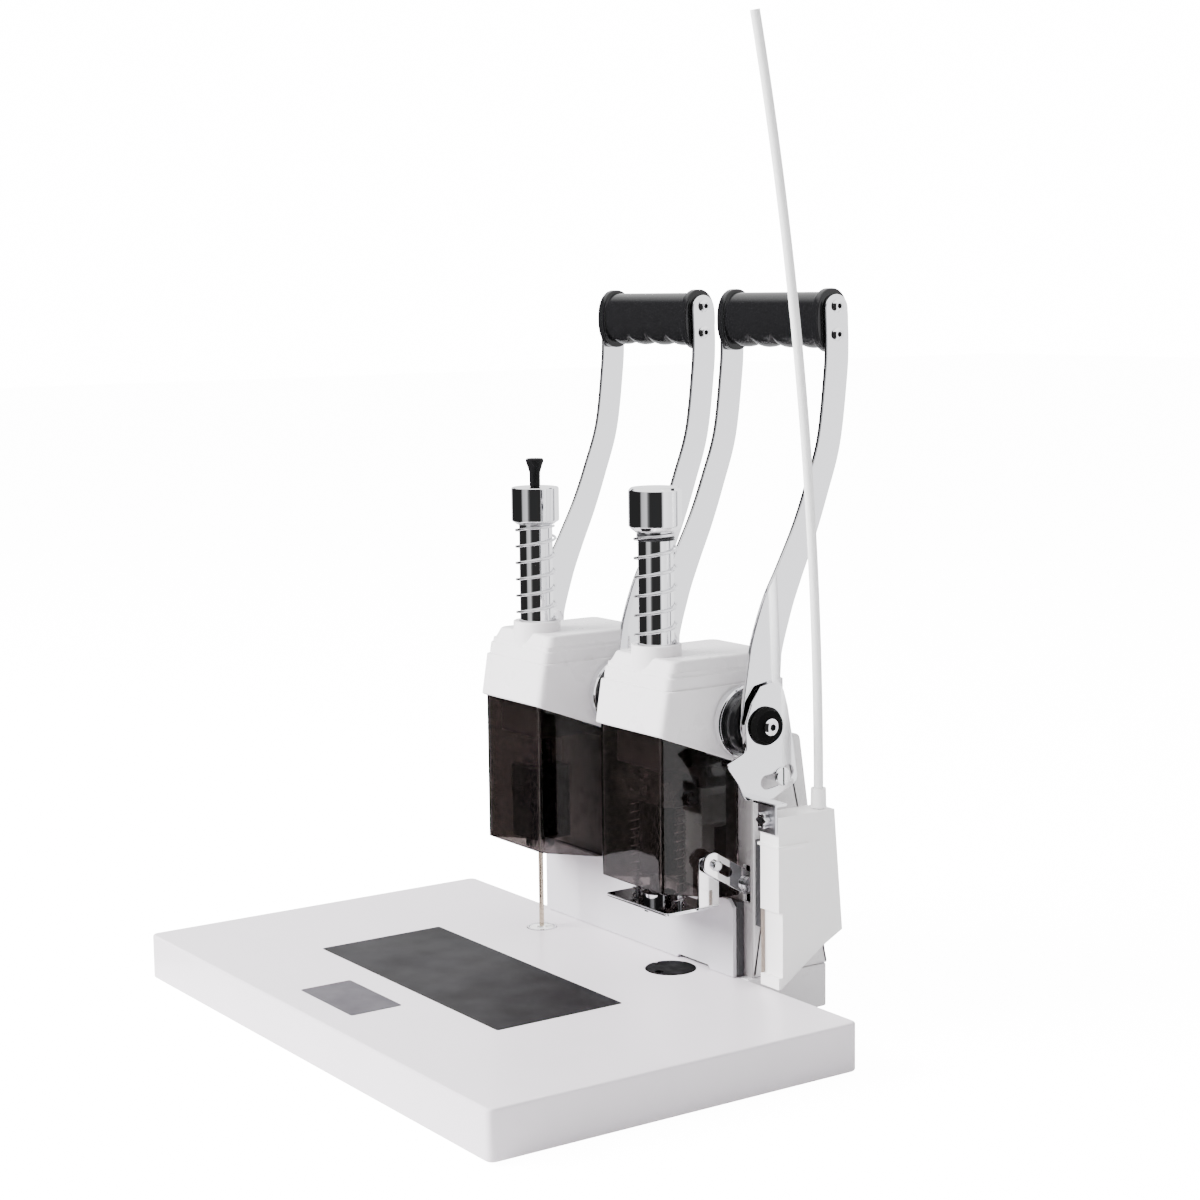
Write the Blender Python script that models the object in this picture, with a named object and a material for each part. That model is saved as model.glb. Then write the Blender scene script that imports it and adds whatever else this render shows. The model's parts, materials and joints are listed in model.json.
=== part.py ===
"""Rivet binding machine: a desk machine that drills a stack of paper and presses a plastic rivet
through the hole. Two lever heads stand behind a white work board, the drill on the left and the
press on the right. Each lever turns a pinion that drives a sprung column down through its head.
A rivet tube stands in a cutter box at the right. Lengths are in metres, +Z is up, -Y is the front,
and the origin lies on the bench under the middle of the machine's outer box."""

import bpy
import bmesh
import math
from mathutils import Matrix, Vector

# Fits
GAP = 0.0003
RUN = 0.0005
OVERRUN = 0.004
SHEET = 0.0015
ROUND_STEPS = 28
SMALL_STEPS = 16

# Work board, its feet and the steel base behind it
BOARD_WIDTH = 0.380
BOARD_DEPTH = 0.224
BOARD_THICKNESS = 0.0262
BOARD_CORNER = 0.005
BOARD_EDGE = 0.0012
FOOT_HEIGHT = 0.0015
FOOT_RADIUS = 0.009
FOOT_INSET = 0.022
REAR_BASE_DEPTH = 0.0565
REAR_BASE_LIFT = 0.0032
REAR_HALF_WIDTH = 0.101

# Where the two heads stand
HEAD_SPACING = 0.1193
PAIR_CENTRE_X = -0.00345
AXIS_INSET = 0.0298
LEVER_SETBACK = 0.0342
LEVER_RISE = 0.1423

# Lever handles
ARM_OFFSET = 0.0462
ARM_THICKNESS = 0.0025
ARM_EYE_RADIUS = 0.0132
ARM_REACH = 0.2215
GRIP_BACK_SHARE = 0.23928
GRIP_BACK = ARM_REACH * GRIP_BACK_SHARE
GRIP_BELOW_TOP = 0.0062
GRIP_RISE = ARM_REACH - GRIP_BELOW_TOP
GRIP_HALF_DEPTH = 0.0113
GRIP_HALF_HEIGHT = 0.0173
GRIP_FLANGE = 0.0065
GRIP_WAIST = 0.0015
GRIP_BUMP = 0.0034
GRIP_BUMPS = 4
GRIP_STEPS = 6
GRIP_SIDES = 20
SHAFT_RADIUS = 0.006
HUB_RING_RADIUS = 0.0205
HUB_RING_WIDTH = 0.0055
HUB_DISC_RADIUS = 0.0175
PAN_HEAD_HEIGHT = 0.0018

# Pinion on each lever shaft and rack teeth in each column
TOOTH_MODULE = 0.001256
PINION_TEETH = 41
PINION_WIDTH = 0.014
TOOTH_FLANK = math.radians(20)
TOOTH_ROOT = 1.25
TOOTH_TIP = 0.8
BACKLASH = 0.0005
RACK_BELOW = 2
DRILL_RACK_ABOVE = 10
PRESS_RACK_ABOVE = 11

# Head housings
HEAD_HALF_WIDTH = 0.032
HEAD_WALL = 0.002
HEAD_FRONT = 0.0208
HEAD_FRONT_DROP = 0.0032
HEAD_FRONT_RISE = LEVER_RISE - HEAD_FRONT_DROP
HEAD_CREASE_LIFT = 0.0208
HEAD_CREASE_RISE = LEVER_RISE + HEAD_CREASE_LIFT
HEAD_TOP_LIFT = 0.036
HEAD_TOP_RISE = LEVER_RISE + HEAD_TOP_LIFT
HEAD_CORNER = 0.005
HEAD_STEP = 0.0007
HEAD_SHOULDER = 0.0026
BARREL_RADIUS = 0.0224
HEAD_BACK = 0.0303
COLLAR_RADIUS = 0.01385
COLLAR_HEIGHT = 0.006
FRAME_HALF_WIDTH = 0.020
FRAME_SLOT_HALF = 0.0085
FRAME_BOSS = 0.0015
FRAME_BACK = 0.016
FRAME_LOW_DROP = 0.0243
FRAME_LOW_RISE = LEVER_RISE - FRAME_LOW_DROP
FRAME_TOP_LIFT = 0.0257
FRAME_TOP_RISE = LEVER_RISE + FRAME_TOP_LIFT
NECK_LOW_DROP = 0.0288
NECK_LOW_RISE = LEVER_RISE - NECK_LOW_DROP
PINION_SPACE = 0.0275

# Smoked guards
GUARD_HALF_WIDTH = 0.0290
GUARD_WALL = 0.002
GUARD_FRONT = 0.0144
GUARD_CHAMFER = 0.0065
GUARD_BOTTOM_RISE = 0.0528
GUARD_TUCK = 0.007
GUARD_OVER_STOP = 0.0012

# Columns, caps and return springs
COLUMN_RADIUS = 0.00975
COLUMN_BORE = 0.0034
CAP_RADIUS = 0.01385
CAP_SOCKET = 0.010
CAP_EDGE = 0.0013
DRILL_CAP_LIFT = 0.0985
DRILL_CAP_RISE = LEVER_RISE + DRILL_CAP_LIFT
DRILL_CAP_HEIGHT = 0.0216
PRESS_CAP_LIFT = 0.1047
PRESS_CAP_RISE = LEVER_RISE + PRESS_CAP_LIFT
PRESS_CAP_HEIGHT = 0.0226
SPRING_WIRE = 0.0011
SPRING_MEAN_RADIUS = 0.0110
SPRING_CURLS = 6
SPRING_POINTS = 10

# Drill unit
MOTOR_HALF_WIDTH = 0.0128
MOTOR_HEIGHT = 0.042
MOTOR_BELOW_FRAME = 0.0195
MOTOR_TOP_RISE = FRAME_LOW_RISE - MOTOR_BELOW_FRAME
MOTOR_BOTTOM_RISE = MOTOR_TOP_RISE - MOTOR_HEIGHT
MOTOR_FRONT = 0.0116
MOTOR_BACK = 0.0139
MOTOR_CORNER = 0.0035
MOTOR_ROOF = 0.003
SPINDLE_RADIUS = 0.0055
CHUCK_RADIUS = 0.0078
CHUCK_LENGTH = 0.0085
BIT_RADIUS = 0.00145
BIT_BORE = 0.00085
BIT_CLEARANCE = 0.0003
ROD_RADIUS = 0.00055
ROD_STEM_RADIUS = 0.0027
ROD_KNOB_RADIUS = 0.0051
ROD_KNOB_HEIGHT = 0.0165
ROD_TRAVEL = 0.012
PAD_RADIUS = 0.0072
PAD_RING_WIDTH = 0.0012
PAD_DEPTH = 0.006
PAD_HOLE = 0.0028

# Press unit
CROSSHEAD_HALF_WIDTH = 0.0245
CROSSHEAD_HALF_DEPTH = 0.011
CROSSHEAD_HEIGHT = 0.014
CROSSHEAD_BELOW_FRAME = 0.0055
CROSSHEAD_BOTTOM_RISE = FRAME_LOW_RISE - CROSSHEAD_BELOW_FRAME - CROSSHEAD_HEIGHT
HEATER_RADIUS = 0.0095
PUNCH_RADIUS = 0.0042
PUNCH_TIP_DROP = 0.054
PUNCH_TIP_RISE = CROSSHEAD_BOTTOM_RISE - PUNCH_TIP_DROP
PUNCH_LENGTH = 0.013
GUIDE_ROD_RADIUS = 0.0016
GUIDE_ROD_SPREAD = 0.0195
GUIDE_HEAD_HEIGHT = 0.003
FOOT_PLATE_DROP = 0.0045
FOOT_PLATE_RISE = PUNCH_TIP_RISE - FOOT_PLATE_DROP
FOOT_PLATE_THICKNESS = 0.002
FOOT_PLATE_LEFT = 0.0287
FOOT_PLATE_RIGHT = 0.0318
FOOT_PLATE_HALF_DEPTH = 0.016
FOOT_PLATE_HOLE = 0.0089
FOOT_TAB_WIDTH = 0.0136
FOOT_TAB_HEIGHT = 0.0303
FOOT_TAB_RISE = FOOT_PLATE_RISE + FOOT_TAB_HEIGHT
FOOT_TAB_SHIFT = 0.002
FOOT_SPRING_WIRE = 0.0008
FOOT_SPRING_MEAN_RADIUS = 0.0029
FOOT_SPRING_CURLS = 12
FOOT_SPRING_POINTS = 8
ANVIL_RADIUS = 0.01407
ANVIL_DEPTH = 0.008
ANVIL_SHIFT_X = -0.003
ANVIL_SHIFT_Y = 0.0098
ANVIL_PROUD = 0.0004
DIE_RADIUS = 0.0025
DIE_DEPTH = 0.002

# Thickness link beside the presser foot
PIN_RADIUS = 0.0015
PIN_BACK = 0.0129
PIN_HEIGHT = 0.0255
PIN_RISE = FOOT_PLATE_RISE + PIN_HEIGHT
LINK_THICKNESS = 0.0018
LINK_HALF_WIDTH = 0.0062
LINK_LENGTH = 0.0251
LINK_ANGLE = math.radians(31.2)
LINK_STANDOFF = 0.0023
LINK_SLOT_HALF = 0.0027
LINK_SLOT_LENGTH = 0.0118
LINK_SLOT_END = 0.0276
LINK_RELIEF = 0.0011
LINK_SHAFT_RADIUS = 0.0022

# Column behind the heads, its cover and the paper stop
COVER_WALL = 0.0022
COVER_TOP_DROP = 0.0092
COVER_TOP_RISE = LEVER_RISE - COVER_TOP_DROP
COVER_TOP_BACK = 0.0372
STOP_THICKNESS = 0.0025
STOP_HEIGHT = 0.0437
STOP_INSET = 0.0042
STOP_MARGIN = 0.0077
STOP_NOTCH_HALF = 0.0155
STOP_NOTCH_HEIGHT = 0.002
SUPPORT_THICKNESS = 0.0047
SUPPORT_DROP = 0.0015
TOWER_WALL = 0.004
TOWER_DEPTH = 0.0235
TOWER_DROP = 0.0523
TOWER_HEIGHT = LEVER_RISE - TOWER_DROP
TOWER_HALF_WIDTH = 0.0865

# Rivet tube and its cutter box
BOX_LEFT_X = 0.1098
BOX_WIDTH = 0.0185
BOX_WALL = 0.0014
BOX_FRONT_INSET = 0.0032
BOX_TOP_DROP = 0.0450
BOX_TOP_RISE = LEVER_RISE - BOX_TOP_DROP
BOX_TOP_DEPTH = 0.0412
BOX_BACK_DEPTH = 0.0470
BOX_BACK_RISE = 0.0275
BOX_KNEE_DEPTH = 0.0308
BOX_KNEE_RISE = 0.0192
CHUTE_THICKNESS = 0.0012
BOX_NOTCH_DEPTH = 0.0215
BOX_NOTCH_HEIGHT = 0.0170
WINDOW_LOW_RISE = 0.0080
WINDOW_HIGH_RISE = 0.0438
TUBE_RADIUS = 0.0026
TUBE_BORE = 0.0014
TUBE_LENGTH = 0.490
TUBE_BEND_RADIUS = 2.02
TUBE_INSET_X = 0.0069
TUBE_SETBACK = 0.0333
TUBE_POINTS = 22
SLEEVE_RADIUS = 0.0041
SLEEVE_HEIGHT = 0.0102
GUIDE_BLOCK_HEIGHT = 0.0118
GUIDE_BLOCK_HALF_WIDTH = 0.0048
GUIDE_BLOCK_FRONT = 0.0208
GUIDE_BLOCK_BACK = 0.0045
BLADE_THICKNESS = 0.0012
BLADE_HALF_WIDTH = 0.003
BLADE_REST = 0.0086
BLADE_FLANGE = 0.004
BRACKET_FRONT = 0.0085
BRACKET_DEPTH = 0.024
BRACKET_LOW_RISE = 0.030
BRACKET_HIGH_RISE = 0.078

# Cutter lever on the press lever's axis
LEVER_PLATE_X = 0.0501
LEVER_PLATE_REACH = 0.0400
LEVER_FLANGE = 0.0019
LEDGE_WIDTH = 0.0185
LEDGE_DEPTH = 0.0085
TAB_DROP = 0.0150
TAB_WIDTH = 0.0150
BUSH_RADIUS = 0.0105
BUSH_WIDTH = 0.0025
SLOT_RADIUS = 0.031
SLOT_HALF = 0.0040
SLOT_FROM = math.radians(1.5)
SLOT_TO = math.radians(30.5)
POST_ANGLE = math.radians(21)
POST_RADIUS = 0.0034

# Mains inlet and switch at the back
INLET_WIDTH = 0.050
INLET_HEIGHT = 0.0275
INLET_PROUD = 0.002
INLET_DEPTH = 0.016
INLET_RISE = 0.034
INLET_SHIFT = 0.052
SOCKET_WIDTH = 0.0235
SOCKET_HEIGHT = 0.0165
ROCKER_WIDTH = 0.0125
ROCKER_HEIGHT = 0.0190
ROCKER_DEPTH = 0.006
ROCKER_TILT = math.radians(7)
BOARD_CARD_THICKNESS = 0.008

# Shares of the arm's reach: back, rise and half width along its spine
ARM_SHARES = (
    (0.014, 0.151, 0.0500), (0.051, 0.275, 0.0470), (0.093, 0.365, 0.0410), (0.139, 0.460, 0.0375),
    (0.178, 0.558, 0.0360), (0.2185, 0.678, 0.0352), (0.240, 0.834, 0.0352), (0.2445, 0.912, 0.0352),
    (0.2415, 1.0, 0.0352),
)

# Shares of the cutter lever's reach: back and rise of the corners of its plate
LEVER_PLATE_SHARES = (
    (-0.060, 0.5325), (-0.220, 0.320), (-0.3325, 0.0425), (-0.310, -0.3225), (-0.6525, -0.470),
    (-0.455, -0.7375), (-0.330, -0.9875), (0.1325, -1.020), (0.2875, -0.945), (0.5675, -0.815),
    (0.4625, -0.140), (0.395, 0.225), (0.3325, 0.4375), (0.2225, 0.5975),
)
LEVER_FLANGE_SHARES = ((-0.3325, 0.0425), (-0.310, -0.3225))
LEVER_LOW_SHARE = -1.020

# Places that follow from the sizes above
WORKTOP_Z = FOOT_HEIGHT + BOARD_THICKNESS
LEVER_TO_REAR = GRIP_BACK + GRIP_HALF_DEPTH
BOARD_BACK_Y = (BOARD_DEPTH + AXIS_INSET - LEVER_SETBACK - LEVER_TO_REAR) / 2
BOARD_FRONT_Y = BOARD_BACK_Y - BOARD_DEPTH
AXIS_Y = BOARD_BACK_Y - AXIS_INSET
LEVER_Y = AXIS_Y + LEVER_SETBACK
LEVER_Z = WORKTOP_Z + LEVER_RISE
DRILL_X = PAIR_CENTRE_X - HEAD_SPACING / 2
PRESS_X = PAIR_CENTRE_X + HEAD_SPACING / 2
PITCH_RADIUS = TOOTH_MODULE * PINION_TEETH / 2
TOOTH_PITCH = math.pi * TOOTH_MODULE
PITCH_RADIUS_TO_AXIS = LEVER_SETBACK - PITCH_RADIUS
HEAD_TOP_Z = WORKTOP_Z + HEAD_TOP_RISE
COLLAR_TOP_Z = HEAD_TOP_Z + COLLAR_HEIGHT
STOP_FRONT_Y = BOARD_BACK_Y - STOP_INSET
COVER_FRONT_Y = STOP_FRONT_Y + STOP_THICKNESS + SUPPORT_THICKNESS + 2 * GAP
COVER_BACK_Y = BOARD_BACK_Y + REAR_BASE_DEPTH
TOWER_FRONT_Y = COVER_FRONT_Y + COVER_WALL + GAP
TOWER_TOP_Z = WORKTOP_Z + TOWER_HEIGHT
BOX_FRONT_Y = BOARD_BACK_Y - BOX_FRONT_INSET
BOX_RIGHT_X = BOX_LEFT_X + BOX_WIDTH
BOX_TOP_Z = WORKTOP_Z + BOX_TOP_RISE
TUBE_X = BOX_RIGHT_X - TUBE_INSET_X
TUBE_Y = BOX_FRONT_Y + TUBE_SETBACK

DRILL_LEVER = Vector((DRILL_X, LEVER_Y, LEVER_Z))
PRESS_LEVER = Vector((PRESS_X, LEVER_Y, LEVER_Z))
DRILL_AXIS = Vector((DRILL_X, AXIS_Y, WORKTOP_Z))
PRESS_AXIS = Vector((PRESS_X, AXIS_Y, WORKTOP_Z))
ORIGIN = Vector((0, 0, 0))

COLOURS = {
    "laminate": ((0.80, 0.79, 0.80), 0.35, 0.0),
    "white_paint": ((0.82, 0.81, 0.82), 0.30, 0.0),
    "white_plastic": ((0.83, 0.82, 0.83), 0.28, 0.0),
    "chrome": ((0.78, 0.78, 0.80), 0.08, 1.0),
    "steel": ((0.55, 0.55, 0.57), 0.25, 1.0),
    "cast_frame": ((0.42, 0.42, 0.44), 0.45, 0.6),
    "dark_steel": ((0.10, 0.10, 0.11), 0.40, 0.4),
    "black_plastic": ((0.015, 0.015, 0.018), 0.22, 0.0),
    "smoked": ((0.035, 0.028, 0.028), 0.08, 0.0),
    "rubber": ((0.03, 0.03, 0.03), 0.80, 0.0),
    "nylon": ((0.88, 0.88, 0.88), 0.40, 0.0),
    "circuit": ((0.02, 0.12, 0.05), 0.50, 0.0),
}


def clear_scene():
    for item in list(bpy.data.objects):
        bpy.data.objects.remove(item)


def material(slot):
    """One Principled material for each finish of the machine."""
    found = bpy.data.materials.get(slot)
    if found:
        return found
    colour, roughness, metallic = COLOURS[slot]
    made = bpy.data.materials.new(slot)
    made.use_nodes = True
    shader = made.node_tree.nodes["Principled BSDF"]
    shader.inputs["Base Color"].default_value = (*colour, 1)
    shader.inputs["Roughness"].default_value = roughness
    shader.inputs["Metallic"].default_value = metallic
    return made


def add_object(name, bm, slot, anchor=ORIGIN, smooth=False):
    """Turn a bmesh in world places into an object whose origin is the anchor."""
    bmesh.ops.recalc_face_normals(bm, faces=bm.faces)
    bmesh.ops.translate(bm, verts=bm.verts, vec=-anchor)
    mesh = bpy.data.meshes.new(name)
    bm.to_mesh(mesh)
    bm.free()
    if smooth:
        mesh.shade_smooth()
        mesh.set_sharp_from_angle(angle=math.radians(35))
    item = bpy.data.objects.new(name, mesh)
    item.location = anchor
    item.data.materials.append(material(slot))
    bpy.context.scene.collection.objects.link(item)
    return item


def add_cutter(bm):
    """A hidden wire object that a Boolean takes away or keeps."""
    item = add_object("cutter", bm, "steel")
    item.hide_render = True
    item.display_type = "WIRE"
    return item


def combine(item, bm, operation="DIFFERENCE"):
    """Cut, keep or join the solid of a bmesh with an object."""
    step = item.modifiers.new(operation.lower(), "BOOLEAN")
    step.operation = operation
    step.solver = "EXACT"
    step.object = add_cutter(bm)
    return item


def prism(outline, axis, low, high):
    """A flat outline of (a, b) pairs carried along one axis. For X the pairs are (y, z), for Y
    (x, z) and for Z (x, y). The ends are lengths, or functions of the pair for slanted ends."""
    order = {"X": (2, 0, 1), "Y": (0, 2, 1), "Z": (0, 1, 2)}[axis]
    bm = bmesh.new()
    rings = []
    for end in (low, high):
        ring = []
        for a, b in outline:
            values = (a, b, end(a, b) if callable(end) else end)
            ring.append(bm.verts.new([values[i] for i in order]))
        rings.append(ring)
    bm.faces.new(rings[0])
    bm.faces.new(reversed(rings[1]))
    count = len(outline)
    for i in range(count):
        j = (i + 1) % count
        bm.faces.new((rings[0][i], rings[1][i], rings[1][j], rings[0][j]))
    return bm


def block(low, high):
    """A box between two corners."""
    outline = ((low[0], low[1]), (high[0], low[1]), (high[0], high[1]), (low[0], high[1]))
    return prism(outline, "Z", low[2], high[2])


def join(*meshes):
    """Several separate solids in one bmesh."""
    bm = bmesh.new()
    for part in meshes:
        mesh = bpy.data.meshes.new("part")
        part.to_mesh(mesh)
        part.free()
        bm.from_mesh(mesh)
        bpy.data.meshes.remove(mesh)
    return bm


def turned(profile, centre, axis="Z", steps=ROUND_STEPS):
    """A profile of (radius, height) pairs spun round an axis through the centre. The profile is a
    closed ring, or starts and ends at radius zero."""
    bm = bmesh.new()
    rings = []
    for radius, height in profile:
        if radius == 0:
            rings.append([bm.verts.new((0, 0, height))])
            continue
        ring = []
        for k in range(steps):
            turn = 2 * math.pi * k / steps
            ring.append(bm.verts.new((radius * math.cos(turn), radius * math.sin(turn), height)))
        rings.append(ring)
    closed = profile[0][0] != 0
    pairs = list(zip(rings, rings[1:])) + ([(rings[-1], rings[0])] if closed else [])
    for one, two in pairs:
        for k in range(steps):
            n = (k + 1) % steps
            if len(one) == 1:
                bm.faces.new((one[0], two[n], two[k]))
            elif len(two) == 1:
                bm.faces.new((one[k], one[n], two[0]))
            else:
                bm.faces.new((one[k], one[n], two[n], two[k]))
    turn = {"X": Matrix.Rotation(math.pi / 2, 4, "Y"), "Y": Matrix.Rotation(-math.pi / 2, 4, "X"),
            "Z": Matrix.Identity(4)}[axis]
    bmesh.ops.transform(bm, matrix=Matrix.Translation(centre) @ turn, verts=bm.verts)
    return bm


def rod(radius, low, high, centre, axis="Z", steps=ROUND_STEPS):
    """A plain round bar; low and high are measured from the centre along the axis."""
    return turned(((0, low), (radius, low), (radius, high), (0, high)), centre, axis, steps)


def ring(inner, outer, low, high, centre, axis="Z", steps=ROUND_STEPS):
    """A flat ring or a tube."""
    profile = ((inner, low), (outer, low), (outer, high), (inner, high))
    return turned(profile, centre, axis, steps)


def arc(centre, radius, start, end, steps):
    """Points on an arc in a plane, from one angle to another."""
    points = []
    for k in range(steps + 1):
        turn = start + (end - start) * k / steps
        points.append((centre[0] + radius * math.cos(turn), centre[1] + radius * math.sin(turn)))
    return points


def rounded_rectangle(low, high, radius, steps=4):
    """A rectangle between two corners with round corners."""
    quarter = math.pi / 2
    points = []
    for k, (x, y) in enumerate(((high[0], high[1]), (low[0], high[1]), (low[0], low[1]), (high[0], low[1]))):
        centre = (x - radius if x == high[0] else x + radius, y - radius if y == high[1] else y + radius)
        points += arc(centre, radius, k * quarter, (k + 1) * quarter, steps)
    return points


def wire(name, points, radius, slot, anchor):
    """A bent wire: a curve with a round section and filled ends."""
    curve = bpy.data.curves.new(name, "CURVE")
    curve.dimensions = "3D"
    curve.bevel_depth = radius
    curve.bevel_resolution = 1
    curve.use_fill_caps = True
    spline = curve.splines.new("POLY")
    spline.points.add(len(points) - 1)
    for target, point in zip(spline.points, points):
        target.co = (*(point - anchor), 1)
    item = bpy.data.objects.new(name, curve)
    item.location = anchor
    curve.materials.append(material(slot))
    bpy.context.scene.collection.objects.link(item)
    return item


def helix(centre, radius, low, high, curls, points_per_curl, wire_radius):
    """Points of a coil spring that stands between two heights, its end wires just inside them."""
    bottom = low + wire_radius + GAP
    top = high - wire_radius - GAP
    count = curls * points_per_curl
    points = []
    for k in range(count + 1):
        turn = 2 * math.pi * k / points_per_curl
        height = bottom + (top - bottom) * k / count
        points.append(Vector((centre.x + radius * math.cos(turn), centre.y + radius * math.sin(turn), height)))
    return points


def least_coil_gap(points, points_per_curl, wire_radius):
    """The least distance between the surfaces of neighbouring curls."""
    least = min((a - b).length for a, b in zip(points, points[points_per_curl:]))
    return least - 2 * wire_radius


def base_board():
    low = (-BOARD_WIDTH / 2, BOARD_FRONT_Y)
    high = (BOARD_WIDTH / 2, BOARD_BACK_Y)
    bm = prism(rounded_rectangle(low, high, BOARD_CORNER), "Z", FOOT_HEIGHT, WORKTOP_Z)
    edges = [e for e in bm.edges if abs(e.verts[0].co.z - e.verts[1].co.z) < GAP]
    bmesh.ops.bevel(bm, geom=edges, offset=BOARD_EDGE, segments=1, affect="EDGES")
    item = add_object("base_board", bm, "laminate")
    pad = PAD_RADIUS + PAD_RING_WIDTH + 2 * GAP
    combine(item, rod(pad, -BOARD_THICKNESS - OVERRUN, OVERRUN, DRILL_AXIS))
    centre = anvil_centre()
    combine(item, rod(ANVIL_RADIUS + GAP, -ANVIL_DEPTH - GAP, OVERRUN, centre))


def anvil_centre():
    return PRESS_AXIS + Vector((ANVIL_SHIFT_X, ANVIL_SHIFT_Y, 0))


def rubber_feet():
    """Two thin pads under the front of the board and two taller ones under the rear base."""
    board_x = BOARD_WIDTH / 2 - FOOT_INSET
    base_x = REAR_HALF_WIDTH - FOOT_INSET
    for side, word in ((-1, "left"), (1, "right")):
        front = Vector((side * board_x, BOARD_FRONT_Y + FOOT_INSET, 0))
        rear = Vector((PAIR_CENTRE_X + side * base_x, COVER_BACK_Y - FOOT_INSET, 0))
        for name, place, height in (("foot_front_", front, FOOT_HEIGHT), ("foot_rear_", rear, REAR_BASE_LIFT)):
            add_object(name + word, rod(FOOT_RADIUS, 0, height, place, steps=SMALL_STEPS), "rubber")


def rear_base():
    low = (PAIR_CENTRE_X - REAR_HALF_WIDTH, BOARD_BACK_Y + GAP)
    high = (PAIR_CENTRE_X + REAR_HALF_WIDTH, COVER_BACK_Y)
    bm = prism(rounded_rectangle(low, high, BOARD_EDGE, 2), "Z", REAR_BASE_LIFT, WORKTOP_Z)
    add_object("rear_base", bm, "white_paint")


def drill_pad():
    """The nylon disc that the drill cuts against, pressed into a chrome ring in the board."""
    bottom = -PAD_DEPTH
    add_object("drill_pad", ring(PAD_HOLE, PAD_RADIUS, bottom, 0, DRILL_AXIS), "nylon")
    outer = PAD_RADIUS + GAP + PAD_RING_WIDTH
    proud = ANVIL_PROUD
    bm = ring(PAD_RADIUS + GAP, outer, bottom, proud, DRILL_AXIS)
    add_object("drill_pad_ring", bm, "chrome", smooth=True)


def anvil_disc():
    """The black anvil plate let into the board, with the die's recess under the punch."""
    bm = rod(ANVIL_RADIUS, -ANVIL_DEPTH, ANVIL_PROUD, anvil_centre())
    item = add_object("anvil_disc", bm, "black_plastic", smooth=True)
    combine(item, rod(DIE_RADIUS, ANVIL_PROUD - DIE_DEPTH, OVERRUN, PRESS_AXIS, steps=SMALL_STEPS))


def back_plate():
    """The white paper stop that stands on the board in front of the column."""
    half = REAR_HALF_WIDTH - STOP_MARGIN
    low = WORKTOP_Z + GAP
    top = WORKTOP_Z + STOP_HEIGHT
    corner = STOP_INSET
    notch = anvil_centre().x
    outline = [(PAIR_CENTRE_X - half, low), (notch - STOP_NOTCH_HALF, low),
               (notch - STOP_NOTCH_HALF + STOP_NOTCH_HEIGHT, low + STOP_NOTCH_HEIGHT),
               (notch + STOP_NOTCH_HALF - STOP_NOTCH_HEIGHT, low + STOP_NOTCH_HEIGHT),
               (notch + STOP_NOTCH_HALF, low), (PAIR_CENTRE_X + half, low),
               (PAIR_CENTRE_X + half, top - corner), (PAIR_CENTRE_X + half - corner, top),
               (PAIR_CENTRE_X - half + corner, top), (PAIR_CENTRE_X - half, top - corner)]
    bm = prism(outline, "Y", STOP_FRONT_Y, STOP_FRONT_Y + STOP_THICKNESS)
    add_object("back_plate", bm, "white_paint")


def plate_support():
    """The dark steel rail between the paper stop and the column cover."""
    half = REAR_HALF_WIDTH - STOP_MARGIN
    front = STOP_FRONT_Y + STOP_THICKNESS + GAP
    low = (PAIR_CENTRE_X - half, front, WORKTOP_Z + GAP)
    high = (PAIR_CENTRE_X + half, front + SUPPORT_THICKNESS, WORKTOP_Z + STOP_HEIGHT - SUPPORT_DROP)
    add_object("plate_support", block(low, high), "dark_steel")


def column_frame():
    """The folded steel tower inside the cover: foot flange, web and top flange."""
    front = TOWER_FRONT_Y
    back = front + TOWER_DEPTH
    base = WORKTOP_Z + GAP
    wall = TOWER_WALL
    outline = [(front, base), (back, base), (back, base + wall), (front + wall, base + wall),
               (front + wall, TOWER_TOP_Z - wall), (back, TOWER_TOP_Z - wall), (back, TOWER_TOP_Z),
               (front, TOWER_TOP_Z)]
    bm = prism(outline, "X", PAIR_CENTRE_X - TOWER_HALF_WIDTH, PAIR_CENTRE_X + TOWER_HALF_WIDTH)
    add_object("column_frame", bm, "cast_frame")


def control_board():
    """The circuit card for the heater and the motor, on the back of the tower."""
    front = TOWER_FRONT_Y + TOWER_WALL + GAP
    half = TOWER_HALF_WIDTH / 2
    low = (PAIR_CENTRE_X - half, front, WORKTOP_Z + TOWER_HEIGHT / 4)
    high = (PAIR_CENTRE_X + half, front + BOARD_CARD_THICKNESS, WORKTOP_Z + TOWER_HEIGHT * 3 / 4)
    add_object("control_board", block(low, high), "circuit")


def cover_outline(inset):
    """Side outline of the column cover: upright front, a cradle round the lever hubs, a flat top
    and a back that tapers out to the base. The inset makes the inner face of its wall."""
    cradle = BARREL_RADIUS + RUN + inset
    top = WORKTOP_Z + COVER_TOP_RISE - inset
    front = COVER_FRONT_Y + inset
    base = WORKTOP_Z + (GAP if inset == 0 else -OVERRUN)
    top_back = BOARD_BACK_Y + COVER_TOP_BACK - inset
    start = -math.pi + math.acos(max(-1, min(1, (LEVER_Y - front) / cradle)))
    end = -math.asin(max(-1, min(1, (LEVER_Z - top) / cradle)))
    points = [(front, base)]
    points += arc((LEVER_Y, LEVER_Z), cradle, start, end, 10)
    points += [(top_back, top), (COVER_BACK_Y - inset, base)]
    return points


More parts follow.
